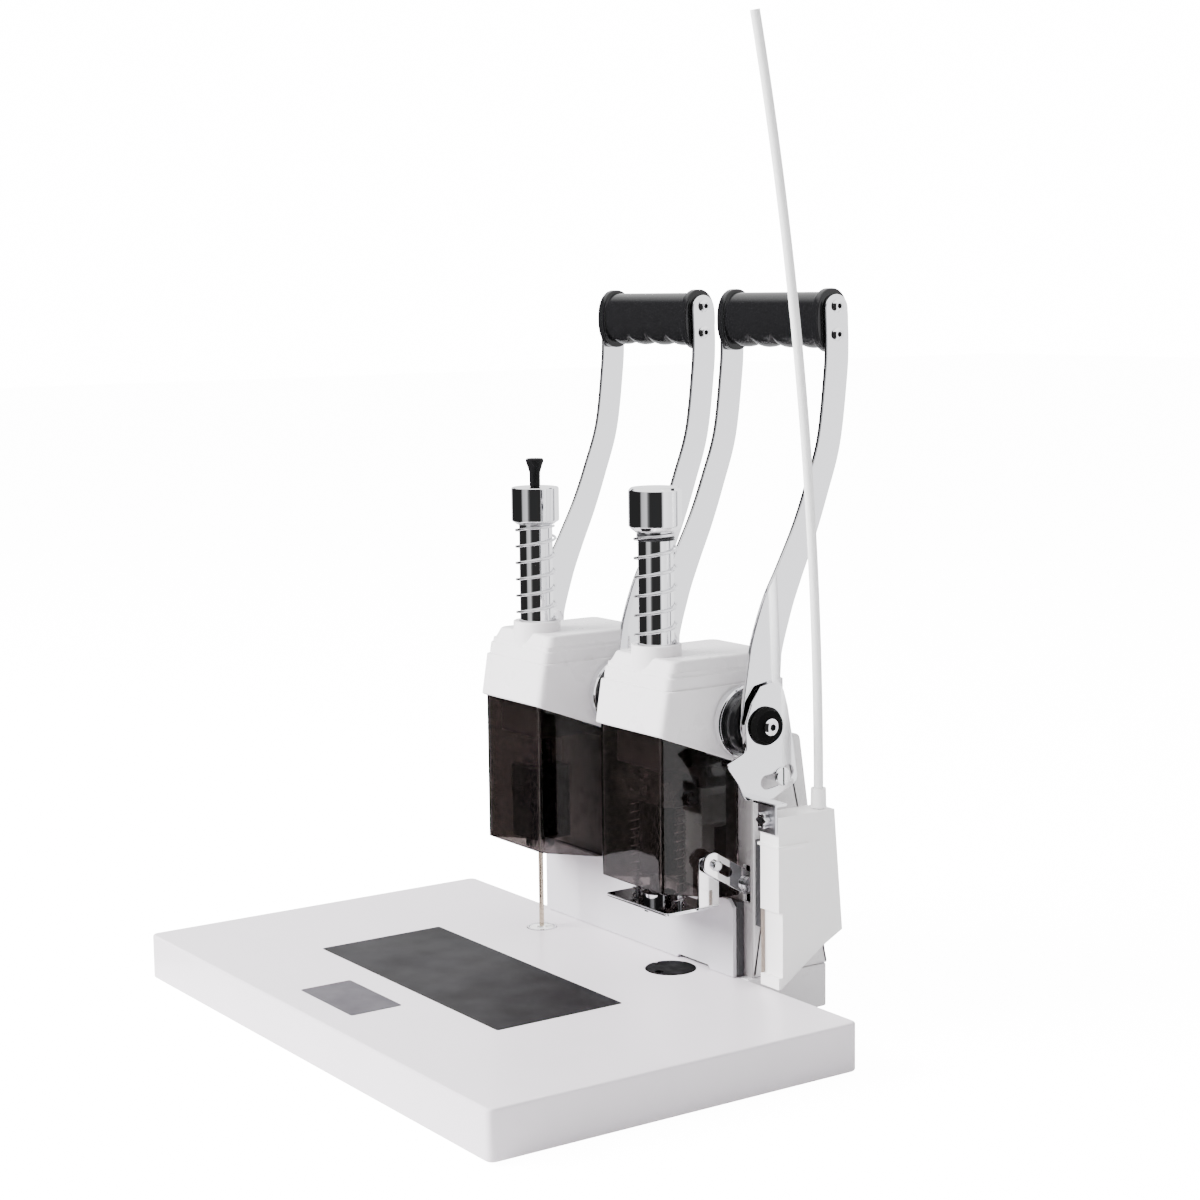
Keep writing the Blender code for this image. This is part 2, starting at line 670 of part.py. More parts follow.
def rear_cover():
    """The white shell over the column, open at the bottom, with a mouth for each head frame."""
    low = PAIR_CENTRE_X - REAR_HALF_WIDTH
    high = PAIR_CENTRE_X + REAR_HALF_WIDTH
    item = add_object("rear_cover", prism(cover_outline(0), "X", low, high), "white_plastic")
    combine(item, prism(cover_outline(COVER_WALL), "X", low + COVER_WALL, high - COVER_WALL))
    for axis in (DRILL_AXIS, PRESS_AXIS):
        combine(item, neck_block(axis, RUN))
    pivot = link_pivot()
    reach = LINK_HALF_WIDTH + 4 * LINK_RELIEF
    relief_low = (pivot.x - LINK_RELIEF, COVER_FRONT_Y - OVERRUN, pivot.z - reach)
    relief_high = (high - COVER_WALL, COVER_FRONT_Y + COVER_WALL + OVERRUN, pivot.z + reach)
    combine(item, block(relief_low, relief_high))
    combine(item, tilted_block(INLET_WIDTH - 2 * INLET_PROUD, INLET_HEIGHT - 2 * INLET_PROUD,
                               -INLET_DEPTH - OVERRUN, OVERRUN))


def back_tilt():
    """How far the cover's back leans from upright, and the point where the inlet sits on it."""
    top_back = BOARD_BACK_Y + COVER_TOP_BACK
    rise = COVER_TOP_RISE - GAP
    lean = math.atan2(COVER_BACK_Y - top_back, rise)
    share = (INLET_RISE - GAP) / rise
    y = COVER_BACK_Y + (top_back - COVER_BACK_Y) * share
    centre = Vector((PAIR_CENTRE_X + INLET_SHIFT, y, WORKTOP_Z + INLET_RISE))
    return lean, centre


def tilted_block(width, height, near, far, shift_x=0, extra_tilt=0):
    """A box square to the cover's sloping back; near and far are measured outward from it."""
    lean, centre = back_tilt()
    bm = block((-width / 2 + shift_x, near, -height / 2), (width / 2 + shift_x, far, height / 2))
    turn = Matrix.Rotation(lean + extra_tilt, 4, "X")
    bmesh.ops.transform(bm, matrix=Matrix.Translation(centre) @ turn, verts=bm.verts)
    return bm


def power_inlet():
    """A mains inlet and a switch opening in one black bezel on the cover's back."""
    bm = tilted_block(INLET_WIDTH, INLET_HEIGHT, GAP, INLET_PROUD)
    item = add_object("power_inlet", bm, "black_plastic")
    body = tilted_block(INLET_WIDTH - 2 * INLET_PROUD - 2 * GAP, INLET_HEIGHT - 2 * INLET_PROUD - 2 * GAP,
                        -INLET_DEPTH, INLET_PROUD / 2)
    combine(item, body, "UNION")
    side = INLET_WIDTH / 4
    for height, width, depth, shift in (
            (SOCKET_HEIGHT, SOCKET_WIDTH, INLET_DEPTH - INLET_PROUD, -side + INLET_PROUD),
            (ROCKER_HEIGHT + 2 * RUN, ROCKER_WIDTH + 2 * RUN, ROCKER_DEPTH + 2 * RUN, side + INLET_PROUD)):
        combine(item, tilted_block(width, height, -depth, OVERRUN, shift))
    lean, centre = back_tilt()
    for x in (-SOCKET_WIDTH / 4, 0, SOCKET_WIDTH / 4):
        pin = tilted_block(PIN_RADIUS * 2, SOCKET_HEIGHT / 4, -INLET_DEPTH + INLET_PROUD / 2, -INLET_PROUD,
                           -side + INLET_PROUD + x)
        combine(item, pin, "UNION")


def power_rocker():
    """The rocker of the mains switch, turning about an axle along X inside the bezel."""
    lean, centre = back_tilt()
    side = INLET_WIDTH / 4 + INLET_PROUD
    axle = centre + Matrix.Rotation(lean, 3, "X") @ Vector((side, -ROCKER_DEPTH / 2, 0))
    half = ROCKER_HEIGHT / 2
    face = ROCKER_DEPTH / 2 + INLET_PROUD
    bow = half * math.tan(ROCKER_TILT)
    outline = [(-ROCKER_DEPTH / 2 + bow, -half + bow), (face - bow, -half + bow / 2), (face, 0),
               (face - bow, half - bow / 2), (-ROCKER_DEPTH / 2 + bow, half - bow)]
    bm = prism(outline, "X", -ROCKER_WIDTH / 2, ROCKER_WIDTH / 2)
    turn = Matrix.Rotation(lean - ROCKER_TILT, 4, "X")
    bmesh.ops.transform(bm, matrix=Matrix.Translation(axle) @ turn, verts=bm.verts)
    add_object("power_rocker", bm, "black_plastic", anchor=axle)


def head_slope():
    """Slope of the head's lower edge: the line from its front corner that touches the barrel."""
    run = LEVER_SETBACK + HEAD_FRONT
    rise = LEVER_RISE - HEAD_FRONT_RISE
    return math.asin(BARREL_RADIUS / math.hypot(run, rise)) - math.atan2(rise, run)


def head_edge_z(y):
    """Height of the head's slanting lower edge at a place along Y."""
    return WORKTOP_Z + HEAD_FRONT_RISE - math.tan(head_slope()) * (y - AXIS_Y + HEAD_FRONT)


def head_side_outline(inset):
    """Side outline of a head: the lower edge slants down to the barrel round the lever axis, then
    runs back above the column cover. The inset outline is open below the slanting edge."""
    drop = OVERRUN if inset else 0
    front = AXIS_Y - HEAD_FRONT - OVERRUN
    back = LEVER_Y + HEAD_BACK + OVERRUN
    shelf = WORKTOP_Z + COVER_TOP_RISE + RUN + inset
    top = WORKTOP_Z + HEAD_TOP_RISE + OVERRUN
    radius = BARREL_RADIUS - inset
    start = -math.pi / 2 - head_slope()
    end = -math.asin((LEVER_Z - shelf) / radius)
    touch = (LEVER_Y + BARREL_RADIUS * math.cos(start), LEVER_Z + BARREL_RADIUS * math.sin(start) - drop)
    points = [(front, head_edge_z(front) - drop)]
    if inset:
        points.append(touch)
    points += arc((LEVER_Y, LEVER_Z), radius, start, end, 12)
    return points + [(back, shelf), (back, top), (front, top)]


def head_section(axis, rise, inset, narrow):
    """One level of the head in plan: a rectangle with its corners cut off."""
    lean = (HEAD_FRONT - COLLAR_RADIUS) / (HEAD_TOP_RISE - HEAD_FRONT_RISE)
    draw = inset + narrow
    half = HEAD_HALF_WIDTH - draw
    cut = HEAD_CORNER
    front = -HEAD_FRONT + lean * (rise - HEAD_FRONT_RISE) + draw
    back = LEVER_SETBACK + HEAD_BACK - draw
    points = ((-half, front + cut), (cut - half, front), (half - cut, front), (half, front + cut),
              (half, back - cut), (half - cut, back), (cut - half, back), (-half, back - cut))
    return [axis + Vector((x, y, rise)) for x, y in points]


def head_body(axis, inset):
    """The head's outer or inner form: plan sections stacked up, leaning back at the front, drawn
    in above the crease and again at the shoulder."""
    low = LEVER_RISE - BARREL_RADIUS - OVERRUN
    shoulder = HEAD_TOP_RISE - HEAD_SHOULDER
    levels = ((low, 0), (HEAD_CREASE_RISE - HEAD_STEP, 0), (HEAD_CREASE_RISE, HEAD_STEP),
              (shoulder, HEAD_STEP), (HEAD_TOP_RISE, HEAD_SHOULDER))
    bm = bmesh.new()
    rings = []
    for rise, narrow in levels:
        rings.append([bm.verts.new(point) for point in head_section(axis, rise - inset, inset, narrow)])
    bm.faces.new(rings[0])
    bm.faces.new(reversed(rings[-1]))
    for one, two in zip(rings, rings[1:]):
        for i in range(len(one)):
            j = (i + 1) % len(one)
            bm.faces.new((one[i], one[j], two[j], two[i]))
    return bm


def neck_block(axis, margin):
    """The space of a head frame's neck, where it passes down into the column cover."""
    half = FRAME_HALF_WIDTH + margin
    low = (axis.x - half, LEVER_Y - PINION_SPACE, WORKTOP_Z + NECK_LOW_RISE - margin)
    high = (axis.x + half, LEVER_Y + PINION_SPACE, LEVER_Z - margin)
    return block(low, high)


def head_cover(name, axis):
    """The painted shell of a head with the collar that the return spring stands on."""
    half = HEAD_HALF_WIDTH
    item = add_object(name, head_body(axis, 0), "white_paint")
    outside = prism(head_side_outline(0), "X", axis.x - half - OVERRUN, axis.x + half + OVERRUN)
    combine(item, outside, "INTERSECT")
    inside = add_object("cutter", head_body(axis, HEAD_WALL), "steel")
    inside.hide_render = True
    inside.display_type = "WIRE"
    side = prism(head_side_outline(HEAD_WALL), "X", axis.x - half - OVERRUN, axis.x + half + OVERRUN)
    combine(inside, side, "INTERSECT")
    hollow = item.modifiers.new("hollow", "BOOLEAN")
    hollow.operation = "DIFFERENCE"
    hollow.solver = "EXACT"
    hollow.object = inside
    lever = Vector((axis.x, LEVER_Y, LEVER_Z))
    combine(item, rod(SHAFT_RADIUS + RUN, -half - OVERRUN, half + OVERRUN, lever, "X", SMALL_STEPS))
    combine(item, neck_block(axis, 2 * RUN))
    top = HEAD_TOP_RISE
    combine(item, rod(COLLAR_RADIUS, top - COLLAR_HEIGHT, top + COLLAR_HEIGHT, axis), "UNION")
    combine(item, rod(COLUMN_RADIUS + RUN, top - COLLAR_HEIGHT - OVERRUN, top + COLLAR_HEIGHT + OVERRUN, axis))


def head_frame(name, axis):
    """The cast frame inside a head: a long bearing round the column, two cheeks that carry the
    lever shaft, and a neck that stands on the tower inside the column cover."""
    half = FRAME_HALF_WIDTH
    front = AXIS_Y - COLUMN_RADIUS - RUN - FRAME_BOSS
    low = WORKTOP_Z + FRAME_LOW_RISE
    top = WORKTOP_Z + FRAME_TOP_RISE
    back = LEVER_Y + FRAME_BACK
    foot = TOWER_TOP_Z + GAP
    outline = [(front, low), (TOWER_FRONT_Y, low), (TOWER_FRONT_Y, foot), (back, foot), (back, top), (front, top)]
    item = add_object(name, prism(outline, "X", axis.x - half, axis.x + half), "cast_frame")
    combine(item, rod(COLUMN_RADIUS + RUN, FRAME_LOW_RISE - OVERRUN, FRAME_TOP_RISE + OVERRUN, axis))
    slot_low = (axis.x - FRAME_SLOT_HALF, AXIS_Y + COLUMN_RADIUS / 2, WORKTOP_Z + NECK_LOW_RISE)
    slot_high = (axis.x + FRAME_SLOT_HALF, back + OVERRUN, top + OVERRUN)
    combine(item, block(slot_low, slot_high))
    lever = Vector((axis.x, LEVER_Y, LEVER_Z))
    combine(item, rod(SHAFT_RADIUS + RUN, -half - OVERRUN, half + OVERRUN, lever, "X", SMALL_STEPS))


def guard_plan(axis, inset):
    """Plan of a guard: open at the rear, with the two front corners cut off."""
    half = GUARD_HALF_WIDTH - inset
    front = AXIS_Y - GUARD_FRONT + inset
    cut = GUARD_CHAMFER - inset * math.tan(math.pi / 8)
    knee = STOP_FRONT_Y - STOP_INSET
    back = COVER_FRONT_Y - GAP + (OVERRUN if inset else 0)
    x = axis.x
    return [(x - half, front + cut), (x - half + cut, front), (x + half - cut, front), (x + half, front + cut),
            (x + half, knee), (x + half, back), (x - half, back), (x - half, knee)]


def guard(name, axis):
    """The smoked shell under a head. Its top is tucked inside the head's rim, its lower edge falls
    towards the rear and then runs level over the paper stop."""
    knee = STOP_FRONT_Y - STOP_INSET
    level = WORKTOP_Z + STOP_HEIGHT + GUARD_OVER_STOP
    fall = (WORKTOP_Z + GUARD_BOTTOM_RISE - level) / (knee - AXIS_Y + GUARD_FRONT)

    def bottom(x, y):
        return level + fall * max(0, knee - y)

    def top(x, y):
        return head_edge_z(y) + GUARD_TUCK

    item = add_object(name, prism(guard_plan(axis, 0), "Z", bottom, top), "smoked")
    inner = guard_plan(axis, GUARD_WALL)
    combine(item, prism(inner, "Z", lambda x, y: bottom(x, y) - OVERRUN, lambda x, y: top(x, y) + OVERRUN))
    half = GUARD_HALF_WIDTH + OVERRUN
    start = LEVER_Y - BARREL_RADIUS
    end = COVER_FRONT_Y + OVERRUN
    rim = [(start, head_edge_z(start) - GAP), (end, head_edge_z(end) - GAP - RUN), (end, LEVER_Z), (start, LEVER_Z)]
    combine(item, prism(rim, "X", axis.x - half, axis.x + half))


def column(name, axis, low_rise, cap_rise, rack_above):
    """The hollow chrome column of a head, with rack teeth cut in its back for the pinion."""
    high = cap_rise + CAP_SOCKET - GAP
    item = add_object(name, ring(COLUMN_BORE, COLUMN_RADIUS, low_rise, high, axis), "chrome", axis)
    root = PITCH_RADIUS_TO_AXIS - TOOTH_ROOT * TOOTH_MODULE
    outer = COLUMN_RADIUS + OVERRUN
    slope = math.tan(TOOTH_FLANK)
    grooves = []
    for k in range(-RACK_BELOW, rack_above + 1):
        z = LEVER_Z + k * TOOTH_PITCH
        half_root = (TOOTH_PITCH + BACKLASH) / 4 - slope * (PITCH_RADIUS_TO_AXIS - root)
        half_outer = (TOOTH_PITCH + BACKLASH) / 4 + slope * (outer - PITCH_RADIUS_TO_AXIS)
        groove = [(AXIS_Y + root, z - half_root), (AXIS_Y + outer, z - half_outer),
                  (AXIS_Y + outer, z + half_outer), (AXIS_Y + root, z + half_root)]
        grooves.append(prism(groove, "X", axis.x - COLUMN_RADIUS, axis.x + COLUMN_RADIUS))
    combine(item, join(*grooves))
    return item


def cap(name, axis, rise, height, bore):
    """The plated cap that closes the top of a column and holds down the return spring."""
    edge = CAP_EDGE
    socket = COLUMN_RADIUS + GAP
    hole = bore if bore else 0
    profile = [(socket, rise), (CAP_RADIUS - edge, rise), (CAP_RADIUS, rise + edge),
               (CAP_RADIUS, rise + height - edge), (CAP_RADIUS - edge, rise + height)]
    if hole:
        profile += [(hole, rise + height), (hole, rise + CAP_SOCKET), (socket, rise + CAP_SOCKET)]
        bm = turned(profile, axis)
    else:
        bm = turned([(0, rise)] + [(CAP_RADIUS - edge, rise)] + profile[2:] + [(0, rise + height)], axis)
    item = add_object(name, bm, "chrome", smooth=True)
    if not hole:
        combine(item, rod(socket, rise - OVERRUN, rise + CAP_SOCKET, axis))


def return_spring(name, axis, cap_rise):
    """The coil spring between a head's collar and the column's cap."""
    radius = SPRING_WIRE / 2
    low = COLLAR_TOP_Z
    high = WORKTOP_Z + cap_rise
    points = helix(axis, SPRING_MEAN_RADIUS, low, high, SPRING_CURLS, SPRING_POINTS, radius)
    wire(name, points, radius, "steel", axis)
    print(name, "least gap", round(least_coil_gap(points, SPRING_POINTS, radius) * 1000, 2), "mm")


def drill_motor():
    """The hollow-shaft motor housing that hangs on the drill column."""
    low = (DRILL_X - MOTOR_HALF_WIDTH, AXIS_Y - MOTOR_FRONT)
    high = (DRILL_X + MOTOR_HALF_WIDTH, AXIS_Y + MOTOR_BACK)
    bottom = WORKTOP_Z + MOTOR_BOTTOM_RISE
    top = WORKTOP_Z + MOTOR_TOP_RISE
    item = add_object("drill_motor", prism(rounded_rectangle(low, high, MOTOR_CORNER), "Z", bottom, top),
                      "black_plastic", DRILL_AXIS)
    bore_top = MOTOR_TOP_RISE - MOTOR_ROOF
    combine(item, rod(SPINDLE_RADIUS + RUN, MOTOR_BOTTOM_RISE - OVERRUN, bore_top, DRILL_AXIS))
    combine(item, rod(ROD_STEM_RADIUS, bore_top - OVERRUN, MOTOR_TOP_RISE + OVERRUN, DRILL_AXIS, steps=SMALL_STEPS))


def drill_chuck():
    """The spindle inside the motor with the chuck below it, bored through for the drill."""
    hole = BIT_RADIUS + GAP
    top = MOTOR_BOTTOM_RISE - RUN
    low = top - CHUCK_LENGTH
    edge = CAP_EDGE
    upper = MOTOR_TOP_RISE - MOTOR_ROOF - 2 * RUN
    profile = [(hole, low), (CHUCK_RADIUS - 2 * edge, low), (CHUCK_RADIUS, low + 2 * edge),
               (CHUCK_RADIUS, top), (SPINDLE_RADIUS, top), (SPINDLE_RADIUS, upper), (hole, upper)]
    add_object("drill_chuck", turned(profile, DRILL_AXIS), "chrome", DRILL_AXIS, smooth=True)


def drill_bit():
    """The hollow paper drill with a bevelled cutting edge."""
    top = MOTOR_BOTTOM_RISE
    low = BIT_CLEARANCE
    bevel = BIT_RADIUS - BIT_BORE
    profile = [(BIT_BORE, low), (BIT_BORE + GAP, low), (BIT_RADIUS, low + bevel), (BIT_RADIUS, top), (BIT_BORE, top)]
    add_object("drill_bit", turned(profile, DRILL_AXIS, steps=SMALL_STEPS), "steel", DRILL_AXIS, smooth=True)


def clearing_rod():
    """The knob and rod that push paper plugs down out of the hollow drill."""
    knob_low = DRILL_CAP_RISE + DRILL_CAP_HEIGHT + ROD_TRAVEL + RUN
    knob_high = DRILL_CAP_RISE + DRILL_CAP_HEIGHT + ROD_KNOB_HEIGHT
    stem_low = DRILL_CAP_RISE + CAP_SOCKET - ROD_TRAVEL
    tip = BIT_CLEARANCE + ROD_TRAVEL + RUN
    profile = [(0, tip), (ROD_RADIUS, tip), (ROD_RADIUS, stem_low), (ROD_STEM_RADIUS, stem_low + ROD_STEM_RADIUS),
               (ROD_STEM_RADIUS, knob_low), (ROD_KNOB_RADIUS, knob_high - CAP_EDGE),
               (ROD_KNOB_RADIUS - CAP_EDGE / 2, knob_high), (0, knob_high)]
    add_object("clearing_rod", turned(profile, DRILL_AXIS, steps=SMALL_STEPS), "black_plastic", DRILL_AXIS, smooth=True)


def press_crosshead():
    """The block under the press column that carries the heater and slides on the foot's rods."""
    low = (PRESS_X - CROSSHEAD_HALF_WIDTH, AXIS_Y - CROSSHEAD_HALF_DEPTH)
    high = (PRESS_X + CROSSHEAD_HALF_WIDTH, AXIS_Y + CROSSHEAD_HALF_DEPTH)
    bottom = WORKTOP_Z + CROSSHEAD_BOTTOM_RISE
    bm = prism(rounded_rectangle(low, high, MOTOR_CORNER), "Z", bottom, bottom + CROSSHEAD_HEIGHT)
    item = add_object("press_crosshead", bm, "steel", PRESS_AXIS)
    for x in (-GUIDE_ROD_SPREAD, GUIDE_ROD_SPREAD):
        centre = PRESS_AXIS + Vector((x, 0, CROSSHEAD_BOTTOM_RISE))
        combine(item, rod(GUIDE_ROD_RADIUS + RUN, -OVERRUN, CROSSHEAD_HEIGHT + OVERRUN, centre, steps=SMALL_STEPS))


def press_heater():
    """The heater barrel and the punch that form the rivet's head."""
    tip = PUNCH_TIP_RISE
    neck = tip + PUNCH_LENGTH
    high = CROSSHEAD_BOTTOM_RISE - GAP
    edge = CAP_EDGE
    cup = PUNCH_RADIUS / 2
    profile = [(0, tip + cup / 2), (cup, tip), (PUNCH_RADIUS, tip), (PUNCH_RADIUS, neck),
               (HEATER_RADIUS - edge, neck), (HEATER_RADIUS, neck + edge), (HEATER_RADIUS, high), (0, high)]
    add_object("press_heater", turned(profile, PRESS_AXIS), "steel", PRESS_AXIS, smooth=True)


def presser_foot():
    """The bright foot plate with its punch hole, the upright tab whose pin drives the link, and
    the two riveted rods that hang it from the crosshead."""
    low = WORKTOP_Z + FOOT_PLATE_RISE
    front = AXIS_Y - FOOT_PLATE_HALF_DEPTH
    back = AXIS_Y + FOOT_PLATE_HALF_DEPTH
    right = PRESS_X + FOOT_PLATE_RIGHT
    corners = rounded_rectangle((PRESS_X - FOOT_PLATE_LEFT, front), (right, back), FOOT_PLATE_THICKNESS / 2)
    bm = prism(corners, "Z", low, low + FOOT_PLATE_THICKNESS)
    item = add_object("presser_foot", bm, "chrome", PRESS_AXIS)
    pin = link_pin()
    tab_front = pin.y - FOOT_TAB_WIDTH / 2 - FOOT_TAB_SHIFT
    tab_low = (right - FOOT_PLATE_THICKNESS, tab_front, low + FOOT_PLATE_THICKNESS / 2)
    tab_high = (right, tab_front + FOOT_TAB_WIDTH, WORKTOP_Z + FOOT_TAB_RISE)
    combine(item, block(tab_low, tab_high), "UNION")
    combine(item, rod(FOOT_PLATE_HOLE, FOOT_PLATE_RISE - OVERRUN, FOOT_PLATE_RISE + OVERRUN, PRESS_AXIS))
    end = LINK_STANDOFF + LINK_THICKNESS + GAP
    head = end + PIN_RADIUS / 2
    profile = [(0, -FOOT_PLATE_THICKNESS / 2), (PIN_RADIUS, -FOOT_PLATE_THICKNESS / 2), (PIN_RADIUS, end),
               (2 * PIN_RADIUS, end), (2 * PIN_RADIUS, head), (0, head)]
    combine(item, turned(profile, pin, "X", SMALL_STEPS), "UNION")
    start = FOOT_PLATE_RISE + FOOT_PLATE_THICKNESS / 2
    stop_low = CROSSHEAD_BOTTOM_RISE + CROSSHEAD_HEIGHT + GAP
    high = stop_low + GUIDE_HEAD_HEIGHT
    radius = GUIDE_ROD_RADIUS
    profile = [(0, start), (radius, start), (radius, stop_low), (2 * radius, stop_low), (2 * radius, high), (0, high)]
    for side in (-1, 1):
        place = PRESS_AXIS + Vector((side * GUIDE_ROD_SPREAD, 0, 0))
        combine(item, turned(profile, place, steps=SMALL_STEPS), "UNION")


def link_pin():
    """Centre of the link pin on the outer face of the foot's tab."""
    return Vector((PRESS_X + FOOT_PLATE_RIGHT, AXIS_Y + PIN_BACK, WORKTOP_Z + PIN_RISE))


def foot_springs():
    """A small spring on each guide rod, between the foot plate and the crosshead."""
    radius = FOOT_SPRING_WIRE / 2
    low = WORKTOP_Z + FOOT_PLATE_RISE + FOOT_PLATE_THICKNESS
    high = WORKTOP_Z + CROSSHEAD_BOTTOM_RISE
    for side, word in ((-1, "left"), (1, "right")):
        centre = PRESS_AXIS + Vector((side * GUIDE_ROD_SPREAD, 0, 0))
        points = helix(centre, FOOT_SPRING_MEAN_RADIUS, low, high, FOOT_SPRING_CURLS, FOOT_SPRING_POINTS, radius)
        wire("foot_spring_" + word, points, radius, "steel", PRESS_AXIS)
        gap = least_coil_gap(points, FOOT_SPRING_POINTS, radius)
        print("foot_spring_" + word, "least gap", round(gap * 1000, 2), "mm")


def link_pivot():
    """Where the thickness link hinges, just inside the column cover."""
    pin = link_pin()
    reach = LINK_LENGTH
    return Vector((pin.x + LINK_STANDOFF, pin.y + reach * math.cos(LINK_ANGLE), pin.z - reach * math.sin(LINK_ANGLE)))


def slotted_link():
    """The slotted link that swings with the foot: the pin runs in its slot."""
    pivot = link_pivot()
    along = (-math.cos(LINK_ANGLE), math.sin(LINK_ANGLE))
    turn = math.atan2(along[1], along[0])
    half = math.pi / 2

    def far(length):
        return (pivot.y + along[0] * length, pivot.z + along[1] * length)

    outline = arc(far(0), LINK_HALF_WIDTH, turn + half, turn + 3 * half, 8)
    outline += arc(far(LINK_SLOT_END), LINK_HALF_WIDTH, turn - half, turn + half, 8)
    item = add_object("slotted_link", prism(outline, "X", pivot.x, pivot.x + LINK_THICKNESS), "chrome", pivot)
    slot = arc(far(LINK_SLOT_END - LINK_SLOT_LENGTH), LINK_SLOT_HALF, turn + half, turn + 3 * half, 6)
    slot += arc(far(LINK_SLOT_END), LINK_SLOT_HALF, turn - half, turn + half, 6)
    combine(item, prism(slot, "X", pivot.x - OVERRUN, pivot.x + OVERRUN))
    combine(item, rod(LINK_SHAFT_RADIUS + GAP, -OVERRUN, OVERRUN, pivot, "X", SMALL_STEPS))


def link_stud():
    """The stud inside the cover's right wall that the thickness link hinges on."""
    pivot = link_pivot()
    wall = PAIR_CENTRE_X + REAR_HALF_WIDTH - COVER_WALL - GAP
    step = LINK_THICKNESS + GAP
    end = wall - pivot.x
    big = 2 * LINK_SHAFT_RADIUS
    profile = [(0, -LINK_THICKNESS / 2), (LINK_SHAFT_RADIUS, -LINK_THICKNESS / 2), (LINK_SHAFT_RADIUS, step), (big, step),
               (big, end), (0, end)]
    add_object("link_stud", turned(profile, pivot, "X", SMALL_STEPS), "steel", smooth=True)


def pinion_outline(centre):
    """Side outline of a pinion with straight-sided teeth; one tooth points at the column."""
    root = PITCH_RADIUS - TOOTH_ROOT * TOOTH_MODULE
    tip = PITCH_RADIUS + TOOTH_TIP * TOOTH_MODULE
    half_pitch = (TOOTH_PITCH - BACKLASH) / 4
    slope = math.tan(TOOTH_FLANK)
    half_root = half_pitch + slope * (PITCH_RADIUS - root)
    half_tip = half_pitch - slope * (tip - PITCH_RADIUS)
    points = []
    for k in range(PINION_TEETH):
        middle = math.pi + 2 * math.pi * k / PINION_TEETH
        for radius, half in ((root, -half_root), (tip, -half_tip), (tip, half_tip), (root, half_root)):
            turn = middle + half / radius
            points.append((centre.y + radius * math.cos(turn), centre.z + radius * math.sin(turn)))
    return points


def lever_shaft(name, lever, right_end):
    """A lever's shaft with its pinion."""
    left_end = -ARM_OFFSET - ARM_THICKNESS / 2
    item = add_object(name, rod(SHAFT_RADIUS, left_end, right_end, lever, "X", SMALL_STEPS), "steel", lever)
    half = PINION_WIDTH / 2
    combine(item, prism(pinion_outline(lever), "X", lever.x - half, lever.x + half), "UNION")


def hubs(prefix, lever):
    """The turned hub on each side of a head: a bright ring stepping down to a black disc."""
    start = HEAD_HALF_WIDTH + GAP
    step = start + HUB_RING_WIDTH
    end = ARM_OFFSET - ARM_THICKNESS / 2 - GAP
    hole = SHAFT_RADIUS + GAP
    for side, word in ((-1, "left"), (1, "right")):
        profile = [(hole, side * start), (HUB_RING_RADIUS, side * start), (HUB_RING_RADIUS, side * step),
                   (HUB_DISC_RADIUS, side * step), (HUB_DISC_RADIUS, side * end), (hole, side * end)]
        add_object(prefix + "_hub_" + word, turned(profile, lever, "X"), "chrome", lever, smooth=True)


def arm_outline(lever):
    """Side outline of a lever arm: a round eye, a long bend and a round top."""
    reach = ARM_REACH
    spine = [(back * reach, rise * reach, half * reach) for back, rise, half in ARM_SHARES]
    left = []
    right = []
    for i, (y, z, half) in enumerate(spine):
        before = spine[max(0, i - 1)]
        after = spine[min(len(spine) - 1, i + 1)]
        along = Vector((after[0] - before[0], after[1] - before[1])).normalized()
        left.append((lever.y + y - along.y * half, lever.z + z + along.x * half))
        right.append((lever.y + y + along.y * half, lever.z + z - along.x * half))
    eye = arc((lever.y, lever.z), ARM_EYE_RADIUS, math.radians(170), math.radians(370), 14)
    top_y, top_z, top_half = spine[-1]
    top = arc((lever.y + top_y, lever.z + top_z), top_half, math.radians(15), math.radians(165), 8)
    return eye + right + top + left[::-1]


def lever_arms(prefix, lever):
    """The two chrome side plates of a lever."""
    for side, word in ((-1, "left"), (1, "right")):
        x = lever.x + side * ARM_OFFSET
        half = ARM_THICKNESS / 2
        name = prefix + "_arm_" + word
        item = add_object(name, prism(arm_outline(lever), "X", x - half, x + half), "chrome", lever)
        centre = Vector((x, lever.y, lever.z))
        combine(item, rod(SHAFT_RADIUS + GAP, -OVERRUN, OVERRUN, centre, "X", SMALL_STEPS))


